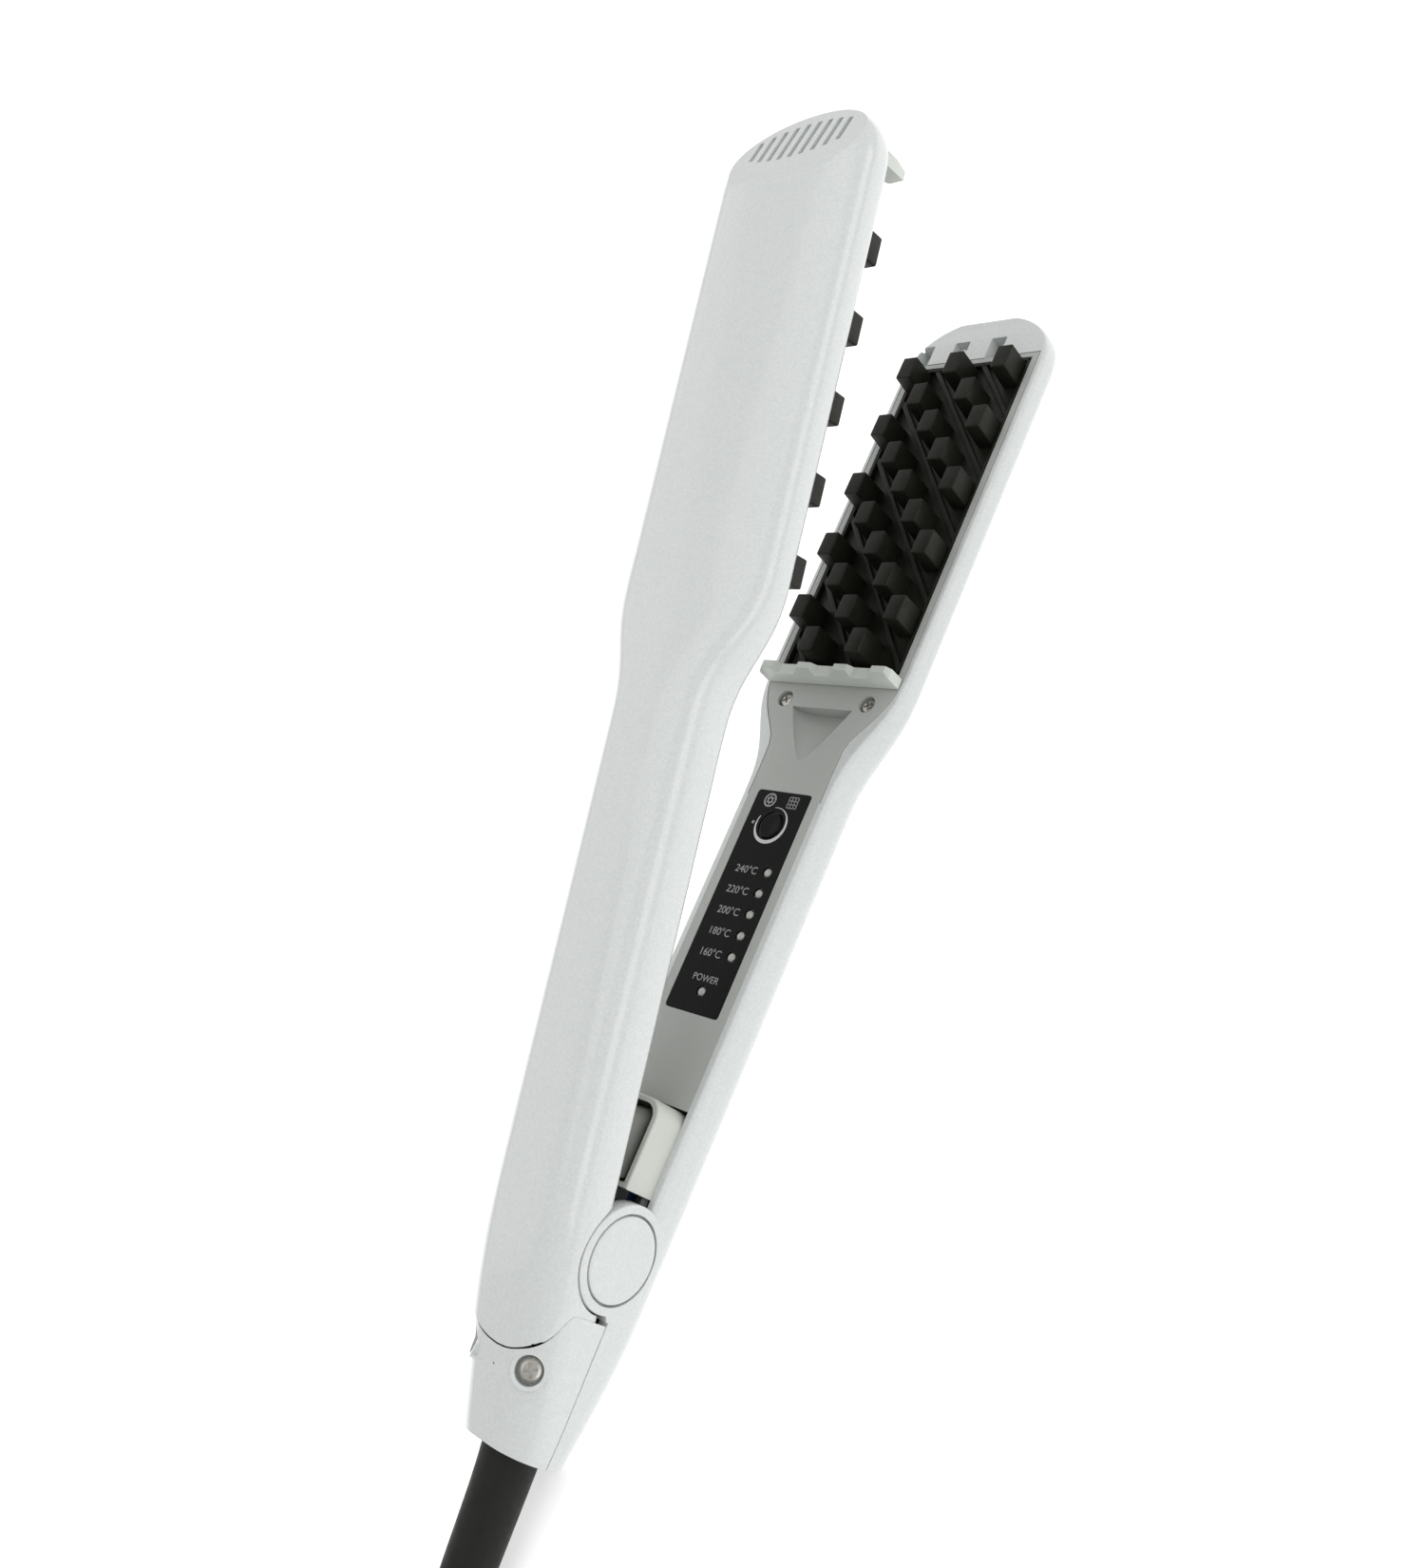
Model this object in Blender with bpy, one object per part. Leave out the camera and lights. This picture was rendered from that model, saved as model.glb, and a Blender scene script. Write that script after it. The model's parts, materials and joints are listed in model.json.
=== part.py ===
"""Hair crimper with two hinged arms, interlocking block teeth and a free cord.

Lengths are in millimetres in the helper functions and are turned into metres when a mesh is made.
Arm coordinates have their origin on the hinge axis: +X runs to the tips, +Y across, +Z out of the
lower arm's face. The lower arm lies flat on the table and the upper arm stands open by OPEN_DEG.
"""

import math

import bmesh
import bpy
from mathutils import Matrix, Vector

MM = 0.001

# ---- driving sizes (mm, degrees) -------------------------------------------------------------
GAP = 0.3                  # clearance between pieces that touch
WALL = 2.0                 # shell wall
OPEN_DEG = 15.2            # opening of the upper arm at rest
HINGE_X = -76.5            # hinge axis from the middle of the object
TIP_X = 242.0              # tip of both arms from the hinge axis
HEAD_HALF = 21.4           # half width of the heads
PANEL_HALF = HEAD_HALF - 2.2   # half width of panels and combs in the heads
HANDLE_HALF = 13.2         # half width of the handles
HEAD_START = 136.0         # where the heads reach full width
HANDLE_END = 104.0         # where the handles start to widen
LOW_RIM = -3.5             # face of the lower arm
LOW_BACK = -16.0           # back of the lower handle, which rests on the table
LOW_HEAD_BACK = -12.0      # back of the lower head
UP_RIM = 5.0               # face of the upper arm when closed
UP_BACK = 17.3             # back of the upper handle
UP_HEAD_BACK = 14.6        # back of the upper head
BACK_ROUND = 7.0           # corner radius along the backs
TAIL_END = -41.0           # end of the tail
PLATE_TAIL = 137.6         # tail edge of the plates
PLATE_HALF = 17.3          # half width of the plates
ROWS = 10                  # tooth rows on each plate
ROW_PITCH = 8.92
TOOTH_LONG = 6.7
TOOTH_WIDE = 4.5
TOOTH_MARGIN = 1.05        # from the outer teeth to the edge of the plate
COLUMN_PITCH = PLATE_HALF - TOOTH_MARGIN - TOOTH_WIDE / 2
TOOTH_REACH = 3.1          # how far each plate's teeth pass the hinge plane
PLATE_THICK = 2.5
PANEL_THICK = 2.0
PANEL_SCREW = (129.3, 12.2)    # place of the panel screws, on both sides of the middle
SCREW_HOLE_R = 2.1
LED_HOLE_R = 1.35
BUTTON_HOLE_R = 3.4
COMB_DIP = 1.2             # height of the lower comb between its crests
COMB_X = (133.4, 136.0)    # lower comb along the arm
UP_COMB_X = (228.6, 231.6)
BOSS_R = 11.0              # hinge boss
CAP_R = 9.0                # hinge cap
PIN_R = 2.4
EAR_OUT = 13.4             # outer face of the hinge ears
EAR_IN = 9.4               # inner face of the hinge ears
BUTTON_TRAVEL = 0.5        # how far the power button goes down
LABEL_X = (51.5, 105.3)    # display label along the handle
LABEL_HALF = 7.9
CORD_R = 3.0
SLEEVE_R = 6.7
SLEEVE_END_R = 4.6

# ---- sizes that follow ------------------------------------------------------------------------
HINGE = Vector((HINGE_X, 0.0, -LOW_BACK))
PLATE_TIP = PLATE_TAIL + ROWS * ROW_PITCH + 0.2
PANEL_TIP = PLATE_TIP + 1.6
LED_X = [85.8, 80.7, 75.6, 70.5, 65.4]
LED_Y = -4.6
POWER_LED = (56.5, -0.5)
BUTTON_AT = (96.9, 0.2)


# ---- helpers ----------------------------------------------------------------------------------
def clear_scene():
    for obj in list(bpy.data.objects):
        bpy.data.objects.remove(obj, do_unlink=True)


def paint(obj, colour, rough=0.4, metal=0.0):
    """Gives the object its own plain Principled material."""
    material = bpy.data.materials.new(obj.name)
    material.use_nodes = True
    shader = material.node_tree.nodes["Principled BSDF"]
    shader.inputs["Base Color"].default_value = (*colour, 1.0)
    shader.inputs["Roughness"].default_value = rough
    shader.inputs["Metallic"].default_value = metal
    obj.data.materials.clear()
    obj.data.materials.append(material)
    return obj


def place(obj, arm):
    """Puts an object made in arm coordinates into the world, with its origin on the hinge axis."""
    obj.location = HINGE * MM
    if arm == "upper":
        obj.rotation_euler = (0.0, -math.radians(OPEN_DEG), 0.0)
    return obj


def mesh_object(name, bm, arm="lower"):
    bmesh.ops.recalc_face_normals(bm, faces=bm.faces)
    bmesh.ops.scale(bm, vec=(MM, MM, MM), verts=bm.verts)
    mesh = bpy.data.meshes.new(name)
    bm.to_mesh(mesh)
    bm.free()
    obj = bpy.data.objects.new(name, mesh)
    bpy.context.collection.objects.link(obj)
    return place(obj, arm)


def smooth(obj, degrees=35):
    """Shades round faces smooth and keeps sharp edges sharp."""
    for face in obj.data.polygons:
        face.use_smooth = True
    obj.data.set_sharp_from_angle(angle=math.radians(degrees))
    return obj


def move_origin(obj, point):
    """Moves the origin of a lower-arm object to a point, leaving its shape where it is."""
    offset = Vector(point) * MM
    obj.data.transform(Matrix.Translation(-offset))
    obj.location += offset
    return obj


def add_ring_loft(bm, rings):
    """Joins closed rings of points, one after the other, and closes both ends."""
    made = [[bm.verts.new(point) for point in ring] for ring in rings]
    count = len(rings[0])
    for first, second in zip(made, made[1:]):
        for i in range(count):
            j = (i + 1) % count
            bm.faces.new((first[i], first[j], second[j], second[i]))
    bm.faces.new(list(reversed(made[0])))
    bm.faces.new(made[-1])


def add_box(bm, low, high):
    size = [b - a for a, b in zip(low, high)]
    middle = [(a + b) / 2 for a, b in zip(low, high)]
    matrix = Matrix.Translation(middle) @ Matrix.Diagonal((*size, 1.0))
    bmesh.ops.create_cube(bm, size=1.0, matrix=matrix)


def axis_matrix(centre, axis):
    turn = Vector((0, 0, 1)).rotation_difference(Vector(axis)).to_matrix().to_4x4()
    return Matrix.Translation(centre) @ turn


def add_cylinder(bm, centre, axis, radius, length, count=24, radius_end=None):
    """A cylinder about its centre; radius_end is the radius at the axis's head."""
    top = radius if radius_end is None else radius_end
    bmesh.ops.create_cone(bm, cap_ends=True, cap_tris=False, segments=count, radius1=radius,
                          radius2=top, depth=length, matrix=axis_matrix(centre, axis))


def add_prism(bm, outline, low, high, axis="z"):
    """Extrudes a closed outline of two coordinates along the third."""
    def point(a, b, c):
        if axis == "z":
            return (a, b, c)
        if axis == "y":
            return (a, c, b)
        return (c, a, b)
    add_ring_loft(bm, [[point(a, b, low) for a, b in outline],
                       [point(a, b, high) for a, b in outline]])


def add_turned(bm, profile, centre, axis, count=32):
    """A ring turned from a closed profile of (radius, height) about an axis."""
    rings = []
    for k in range(count):
        angle = 2 * math.pi * k / count
        ring = [(r * math.cos(angle), r * math.sin(angle), h) for r, h in profile]
        rings.append([bm.verts.new(axis_matrix(centre, axis) @ Vector(p)) for p in ring])
    size = len(profile)
    for k in range(count):
        first, second = rings[k], rings[(k + 1) % count]
        for i in range(size):
            j = (i + 1) % size
            bm.faces.new((first[i], first[j], second[j], second[i]))


def helper(name, bm, arm="lower"):
    """A cutter or an added piece: it shapes other objects and isn't part of the object itself."""
    obj = mesh_object(name, bm, arm)
    obj.hide_render = True
    obj.display_type = "WIRE"
    return obj


def combine(obj, tool, operation="DIFFERENCE"):
    modifier = obj.modifiers.new(tool.name, "BOOLEAN")
    modifier.operation = operation
    modifier.solver = "EXACT"
    modifier.object = tool
    return obj


def between(table, x):
    """Reads a row of a table of stations at x, in a straight line between its rows."""
    if x <= table[0][0]:
        return table[0][1:]
    for low, high in zip(table, table[1:]):
        if x <= high[0]:
            t = (x - low[0]) / (high[0] - low[0])
            return tuple(a + (b - a) * t for a, b in zip(low[1:], high[1:]))
    return table[-1][1:]


# ---- outer form of the arms -------------------------------------------------------------------
NECK = [  # distance from the hinge, half width, share of the way from handle back to head back
    (HANDLE_END, HANDLE_HALF, 0.0),
    (110.0, HANDLE_HALF + 0.3, 0.02),
    (115.0, HANDLE_HALF + 1.4, 0.08),
    (119.0, HEAD_HALF - 5.2, 0.22),
    (123.0, HEAD_HALF - 3.3, 0.42),
    (127.0, HEAD_HALF - 1.6, 0.65),
    (131.0, HEAD_HALF - 0.5, 0.85),
    (HEAD_START, HEAD_HALF, 0.97),
    (142.0, HEAD_HALF, 1.0),
]
TIP = [  # distance back from the tip, share of the full half width
    (18.0, 1.0), (13.0, 0.985), (9.5, 0.94), (6.6, 0.86), (4.2, 0.745), (2.4, 0.6), (1.1, 0.42),
    (0.25, 0.2),
]


def section(x, belly, rim_half, rim, back, round_y, round_z, drop, side):
    """A closed ring across the arm; side is -1 for the lower arm and 1 for the upper."""
    half = []
    for k in range(4):
        angle = math.pi / 2 * (1 - k / 3)
        half.append((rim_half + (belly - rim_half) * math.cos(angle),
                     rim + side * drop * (1 - math.sin(angle))))
    for k in range(5):
        angle = math.pi / 2 * k / 4
        half.append((belly - round_y * (1 - math.cos(angle)),
                     back - side * round_z * (1 - math.sin(angle))))
    ring = [(x, y, z) for y, z in half]
    ring += [(x, -y, z) for y, z in reversed(half)]
    return ring


def arm_sizes(x, side):
    """Half width, back height and how far the flat rim reaches, at one place along an arm."""
    rear_back = LOW_BACK if side < 0 else UP_BACK
    head_back = LOW_HEAD_BACK if side < 0 else UP_HEAD_BACK
    if x <= HANDLE_END:
        return HANDLE_HALF, rear_back, 0.0
    half, share = between(NECK, x)
    back = rear_back + (head_back - rear_back) * share
    if x > TIP_X - TIP[0][0]:
        back_from_tip = [(-d, s) for d, s in TIP]
        half *= between(back_from_tip, x - TIP_X)[0]
    return half, back, share


def arm_ring(x, side):
    half, back, share = arm_sizes(x, side)
    rim = LOW_RIM if side < 0 else UP_RIM
    inset = min(1.4, 0.5 * half)
    drop = 5.0 - 1.5 * share
    depth = abs(back - rim)
    round_y = min(BACK_ROUND + 1.5 * share, 0.8 * half)
    round_z = min(BACK_ROUND - share, depth - drop - 0.2)
    return section(x, half, half - inset, rim, back, round_y, round_z, drop, side)


def arm_stations(start):
    xs = [start + 0.0]
    xs += [x for x in (60.0, HANDLE_END) if x > start]
    xs += [row[0] for row in NECK[1:]]
    xs += [185.0]
    xs += [TIP_X - row[0] for row in TIP]
    return xs


def facet_cutter(name, side, arm):
    """The slanted flat at the tip of the back."""
    back = LOW_HEAD_BACK if side < 0 else UP_HEAD_BACK
    low = (226.5, back)
    high = (TIP_X + 8.0, back - side * 9.3)
    outline = [low, high, (TIP_X + 8.0, back + side * 20), (200.0, back + side * 20),
               (200.0, back + side * 0.02)]
    bm = bmesh.new()
    add_prism(bm, outline, -40, 40, axis="y")
    return helper(name, bm, arm)


def vent_cutter(name, side, arm):
    """Nine narrow slots through the slanted flat, with their lengths following its oval."""
    back = LOW_HEAD_BACK if side < 0 else UP_HEAD_BACK
    slope = math.atan2(9.3, TIP_X + 8.0 - 226.5)
    bm = bmesh.new()
    for k in range(9):
        y = (k - 4) * 3.0
        half = 4.9 * math.sqrt(max(0.1, 1 - (y / 15.5) ** 2))
        start = len(bm.verts)
        add_box(bm, (-half, y - 0.65, -3.5), (half, y + 0.65, 3.5))
        bm.verts.ensure_lookup_table()
        fresh = bm.verts[start:]
        bmesh.ops.rotate(bm, verts=fresh, cent=(0, 0, 0),
                         matrix=Matrix.Rotation(side * slope, 3, "Y"))
        bmesh.ops.translate(bm, verts=fresh, vec=(234.4, 0, back - side * 3.1))
    return helper(name, bm, arm)


# ---- lower shell ------------------------------------------------------------------------------
TAIL = [  # distance from the hinge, half width, parting height, back height
    (TAIL_END, 10.5, -6.5, -14.8),
    (-34.0, 11.4, -5.7, -15.2),
    (-26.0, 12.2, -4.7, -15.6),
    (-18.0, 12.8, -3.9, -15.9),
    (-12.0, 13.1, LOW_RIM, LOW_BACK),
    (-4.0, HANDLE_HALF, LOW_RIM, LOW_BACK),
]


def lower_outer_rings():
    rings = []
    for x, half, rim, back in TAIL:
        rings.append(section(x, half, half - 0.05, rim, back, BACK_ROUND, BACK_ROUND, 0.6, -1))
    for x in arm_stations(8.0):
        rings.append(arm_ring(x, -1))
    return rings


def neck_room(x, half):
    """Half width of the hollow in neck and head, which opens a little later than the outside."""
    return min(half - WALL - 0.1, HEAD_HALF - 10.4 + max(0.0, x - 117) * 0.62)


def lower_cavity():
    """The hollow inside the lower shell, open to the face."""
    bm = bmesh.new()
    rows = [(TAIL_END + WALL, 8.6, -13.0), (-26.0, 10.0, -13.6), (-12.0, 11.0, -14.0),
            (HANDLE_END, 11.0, -14.0)]
    for x, half, share in NECK[1:]:
        floor = LOW_BACK + (LOW_HEAD_BACK - LOW_BACK) * share + WALL
        rows.append((x, neck_room(x, half), floor))
    rows.append((PANEL_TIP + GAP, HEAD_HALF - 1.9, LOW_HEAD_BACK + WALL))
    rings = []
    for x, half, floor in rows:
        low = min(4.0, half / 2)
        rings.append([(x, half, 30), (x, half, floor + low), (x, half - low * 0.3, floor + low * 0.3),
                      (x, half - low, floor), (x, low - half, floor),
                      (x, low * 0.3 - half, floor + low * 0.3), (x, -half, floor + low),
                      (x, -half, 30)])
    add_ring_loft(bm, rings)
    return helper("cut_lower_cavity", bm)


def ear_outline():
    """Side view of a hinge ear: round above, running straight into the tail behind."""
    points = []
    for k in range(26):
        angle = math.radians(-60 + k * 10)
        points.append((BOSS_R * math.cos(angle), BOSS_R * math.sin(angle)))
    points.append((-11.9, -2.8))
    points.append((-11.9, -9.0))
    return points


def build_lower_shell():
    bm = bmesh.new()
    add_ring_loft(bm, lower_outer_rings())
    shell = mesh_object("lower_shell", bm)
    combine(shell, lower_cavity())
    combine(shell, facet_cutter("cut_lower_facet", -1, "lower"))
    bm = bmesh.new()
    for side in (-1, 1):
        low, high = sorted((side * EAR_IN, side * EAR_OUT))
        add_prism(bm, ear_outline(), low, high, axis="y")
    for y in (-PANEL_SCREW[1], PANEL_SCREW[1]):
        add_cylinder(bm, (PANEL_SCREW[0], y, -9.6), (0, 0, 1), 2.6, 7.4, 16)
    combine(shell, helper("add_lower_ears", bm), "UNION")
    bm = bmesh.new()
    add_cylinder(bm, (0, 0, 0), (0, 1, 0), PIN_R + 0.1, 40, 24)
    combine(shell, helper("cut_lower_bore", bm))
    bm = bmesh.new()
    for side in (-1, 1):
        add_cylinder(bm, (0, side * (EAR_OUT + 3.2), 0), (0, 1, 0), CAP_R + 0.25, 10, 40)
    add_cylinder(bm, (TAIL_END, 0, -6.2), (1, 0, 0), SLEEVE_R + GAP, 12, 28)
    for y in (16.2, 5.4, -5.4):
        add_box(bm, (PANEL_TIP - 1.0, y - 2.2, LOW_RIM - 4.0), (PANEL_TIP + 6.3, y + 2.2, 6.0))
    combine(shell, helper("cut_lower_details", bm))
    combine(shell, vent_cutter("cut_lower_vents", -1, "lower"))
    return paint(smooth(shell), (0.76, 0.79, 0.75), 0.25)


# ---- upper shell ------------------------------------------------------------------------------
REAR = [  # distance from the hinge, half width, back height
    (-30.0, 11.9, 14.0),
    (-24.0, 12.4, 14.7),
    (-16.0, 12.8, 15.7),
    (-8.0, 13.05, 16.5),
    (0.0, HANDLE_HALF, 17.0),
    (8.0, HANDLE_HALF, UP_BACK),
]
SEAM = [  # half width and place of the curved seam between the upper shell and the tail
    (0.0, -23.4), (3.0, -23.1), (6.0, -22.2), (9.0, -20.6), (11.0, -18.4), (12.3, -15.4),
    (13.0, -12.4), (20.0, -12.2),
]


def seam_outline(shift, far):
    points = [(x + shift, y) for y, x in reversed(SEAM)]
    points += [(x + shift, -y) for y, x in SEAM[1:]]
    points += [(far, -20.0), (far, 20.0)]
    return points


def seam_cutter(name, shift, far, arm="lower"):
    """A block whose edge is the curved seam; it is upright in the lower arm's coordinates."""
    bm = bmesh.new()
    add_prism(bm, seam_outline(shift, far), -25, 30)
    return helper(name, bm, arm)


def upper_cavity():
    bm = bmesh.new()
    rows = [(-40.0, 10.3, 11.5), (-24.0, 10.5, 12.7), (-8.0, 11.0, 14.5), (8.0, 11.0, 15.3),
            (HANDLE_END, 11.0, 15.3)]
    for x, half, share in NECK[1:]:
        roof = UP_BACK + (UP_HEAD_BACK - UP_BACK) * share - WALL
        rows.append((x, neck_room(x, half), roof))
    rows.append((PANEL_TIP + GAP, HEAD_HALF - 1.9, UP_HEAD_BACK - WALL))
    rings = []
    for x, half, roof in rows:
        low = min(4.0, half / 2)
        rings.append([(x, half, -30), (x, half, roof - low), (x, half - low * 0.3, roof - low * 0.3),
                      (x, half - low, roof), (x, low - half, roof),
                      (x, low * 0.3 - half, roof - low * 0.3), (x, -half, roof - low),
                      (x, -half, -30)])
    add_ring_loft(bm, rings)
    return helper("cut_upper_cavity", bm, "upper")


def build_upper_shell():
    bm = bmesh.new()
    rings = []
    for x, half, back in REAR:
        rim = UP_RIM - 3.0 if x < -4 else UP_RIM
        rings.append(section(x, half, half - 1.4, rim, back, BACK_ROUND, BACK_ROUND, 3.5, 1))
    for x in arm_stations(14.0):
        rings.append(arm_ring(x, 1))
    add_ring_loft(bm, rings)
    shell = mesh_object("upper_shell", bm, "upper")
    combine(shell, upper_cavity())
    combine(shell, facet_cutter("cut_upper_facet", 1, "upper"))
    combine(shell, seam_cutter("cut_upper_seam", 0.15, -60.0))
    bm = bmesh.new()
    add_cylinder(bm, (0, 0, 0), (0, 1, 0), BOSS_R + 0.4, 60, 48)
    combine(shell, helper("cut_upper_boss", bm, "upper"))
    bm = bmesh.new()
    for y in (-PANEL_SCREW[1], PANEL_SCREW[1]):
        add_cylinder(bm, (PANEL_SCREW[0], y, 11.3), (0, 0, 1), 2.6, 6.8, 16)
    combine(shell, helper("add_upper_posts", bm, "upper"), "UNION")
    combine(shell, vent_cutter("cut_upper_vents", 1, "upper"))
    return paint(smooth(shell), (0.80, 0.83, 0.79), 0.2)


# ---- tail cover -------------------------------------------------------------------------------
COVER = [  # distance from the hinge, half width, parting height, top height
    (TAIL_END, 10.5, -6.5, 2.6),
    (-34.0, 11.4, -5.7, 5.2),
    (-26.0, 12.2, -4.7, 8.2),
    (-18.0, 12.75, -3.9, 11.4),
    (-10.0, 13.1, LOW_RIM, 14.4),
]
TAIL_SCREW = (-25.0, 9.0, 7.6)
TAIL_SCREW_TILT = (0.0, 0.62, 0.785)


def build_tail_cover():
    bm = bmesh.new()
    rings = []
    for x, half, parting, top in COVER:
        low = parting + GAP
        rings.append(section(x, half, half - 0.05, low, top, 7.6, min(7.6, top - low - 0.8), 0.6, 1))
    add_ring_loft(bm, rings)
    cover = mesh_object("tail_cover", bm)
    combine(cover, seam_cutter("cut_cover_seam", -0.15, 30.0))
    bm = bmesh.new()
    rows = [(TAIL_END + WALL, 8.4, 0.4), (-26.0, 10.1, 6.0), (-8.0, 11.0, 12.6)]
    rings = []
    for x, half, roof in rows:
        rings.append([(x, half, -20), (x, half, roof - 5.5), (x, half - 1.7, roof - 1.7),
                      (x, half - 5.5, roof), (x, 5.5 - half, roof), (x, 1.7 - half, roof - 1.7),
                      (x, -half, roof - 5.5), (x, -half, -20)])
    add_ring_loft(bm, rings)
    combine(cover, helper("cut_cover_cavity", bm))
    bm = bmesh.new()
    for side in (-1, 1):
        x, y, z = TAIL_SCREW
        tilt = Vector((TAIL_SCREW_TILT[0], side * TAIL_SCREW_TILT[1], TAIL_SCREW_TILT[2]))
        centre = Vector((x, side * y, z)) - tilt * 3.2
        add_cylinder(bm, centre, tilt, 3.7, 4.6, 20)
    combine(cover, helper("add_cover_cups", bm), "UNION")
    bm = bmesh.new()
    for side in (-1, 1):
        x, y, z = TAIL_SCREW
        tilt = Vector((TAIL_SCREW_TILT[0], side * TAIL_SCREW_TILT[1], TAIL_SCREW_TILT[2]))
        centre = Vector((x, side * y, z)) + tilt * 1.0
        add_cylinder(bm, centre, tilt, 2.9, 10.0, 20)
    add_cylinder(bm, (TAIL_END, 0, -6.2), (1, 0, 0), SLEEVE_R + GAP, 12, 28)
    combine(cover, helper("cut_cover_details", bm))
    return paint(smooth(cover), (0.76, 0.79, 0.75), 0.25)


def build_tail_screws():
    for side, name in ((-1, "near"), (1, "far")):
        x, y, z = TAIL_SCREW
        tilt = Vector((0, side * TAIL_SCREW_TILT[1], TAIL_SCREW_TILT[2]))
        centre = Vector((x, side * y, z)) - tilt * 3.0
        bm = bmesh.new()
        add_cylinder(bm, centre, tilt, 2.4, 1.4, 16, 1.9)
        paint(smooth(mesh_object("tail_screw_" + name, bm)), (0.5, 0.5, 0.5), 0.3, 1.0)


# ---- face panels ------------------------------------------------------------------------------
def panel_outline(start):
    """Plan view of a face panel from the handle to the end of the plate."""
    edge = [(start, 10.7), (HANDLE_END + 6, 10.7), (117.0, 10.9), (121.0, PANEL_HALF - 6.6),
            (124.5, PANEL_HALF - 4.1), (128.0, PANEL_HALF - 1.9), (131.5, PANEL_HALF - 0.5),
            (135.5, PANEL_HALF), (PANEL_TIP, PANEL_HALF)]
    return edge + [(x, -y) for x, y in reversed(edge)]


def cut_common(bm, side, rim):
    """Plate window and screw holes, the same on both panels."""
    deep = 12.0
    add_box(bm, (PLATE_TAIL - GAP, -PLATE_HALF - GAP, rim - deep),
            (PLATE_TIP + GAP, PLATE_HALF + GAP, rim + deep))
    x, out = PANEL_SCREW
    for y in (-out, out):
        add_cylinder(bm, (x, y, rim + side * 0.1), (0, 0, 1), SCREW_HOLE_R, 2.8, 20)


def build_lower_panel():
    top = LOW_RIM
    bm = bmesh.new()
    add_prism(bm, panel_outline(31.6), top - PANEL_THICK, top)
    panel = mesh_object("lower_panel", bm)
    bm = bmesh.new()
    add_box(bm, (113.0, -8.2, top - 5.6), (127.0, 8.2, top - PANEL_THICK + 0.4))
    combine(panel, helper("add_scoop_block", bm), "UNION")
    bm = bmesh.new()
    cut_common(bm, -1, top)
    add_box(bm, (LABEL_X[0] - GAP, -LABEL_HALF - GAP, top - 0.7),
            (LABEL_X[1] + GAP, LABEL_HALF + GAP, top + 5))
    combine(panel, helper("cut_panel_windows", bm))
    bm = bmesh.new()
    rings = []
    for x, half, depth in ((114.2, 0.6, 0.15), (119.0, 4.6, 2.2), (126.0, 7.4, 4.4)):
        ring = [(x, half * math.cos(a), top - depth * math.sin(a))
                for a in [math.pi * k / 10 for k in range(11)]]
        ring += [(x, -half, top + 3), (x, half, top + 3)]
        rings.append(ring)
    add_ring_loft(bm, rings)
    add_cylinder(bm, (*BUTTON_AT, top), (0, 0, 1), BUTTON_HOLE_R, 9, 28)
    for x in LED_X:
        add_cylinder(bm, (x, LED_Y, top), (0, 0, 1), LED_HOLE_R, 9, 12)
    add_cylinder(bm, (*POWER_LED, top), (0, 0, 1), LED_HOLE_R, 9, 12)
    combine(panel, helper("cut_panel_details", bm))
    return paint(smooth(panel), (0.60, 0.62, 0.59), 0.45)


def build_upper_panel():
    bottom = UP_RIM
    bm = bmesh.new()
    add_prism(bm, panel_outline(12.5), bottom, bottom + PANEL_THICK)
    panel = mesh_object("upper_panel", bm, "upper")
    bm = bmesh.new()
    cut_common(bm, 1, bottom)
    combine(panel, helper("cut_upper_panel_windows", bm, "upper"))
    return paint(smooth(panel), (0.60, 0.62, 0.59), 0.45)


def build_panel_screws():
    for arm, rim, side in (("lower", LOW_RIM, -1), ("upper", UP_RIM, 1)):
        for y, name in ((-PANEL_SCREW[1], "near"), (PANEL_SCREW[1], "far")):
            bm = bmesh.new()
            add_cylinder(bm, (PANEL_SCREW[0], y, rim + side * 0.85), (0, 0, -side), 1.75, 0.7, 16, 1.3)
            screw = mesh_object(f"{arm}_screw_{name}", bm, arm)
            paint(smooth(screw), (0.55, 0.55, 0.55), 0.3, 1.0)


# ---- plates, heaters and combs ----------------------------------------------------------------
def tooth_columns(row, side):
    """Columns of teeth in a row; rows run from the tip, and the two plates alternate."""
    wide = (row % 2 == 0) if side < 0 else (row % 2 == 1)
    return (-1.0, 0.0, 1.0) if wide else (-0.5, 0.5)


def row_start(row):
    return PLATE_TIP - 1.1 - TOOTH_LONG - row * ROW_PITCH


def tooth_boxes(side):
    spans = []
    for row in range(ROWS):
        for column in tooth_columns(row, side):
            y = column * COLUMN_PITCH
            x = row_start(row)
            spans.append((x, x + TOOTH_LONG, y - TOOTH_WIDE / 2, y + TOOTH_WIDE / 2))
    return spans


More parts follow.
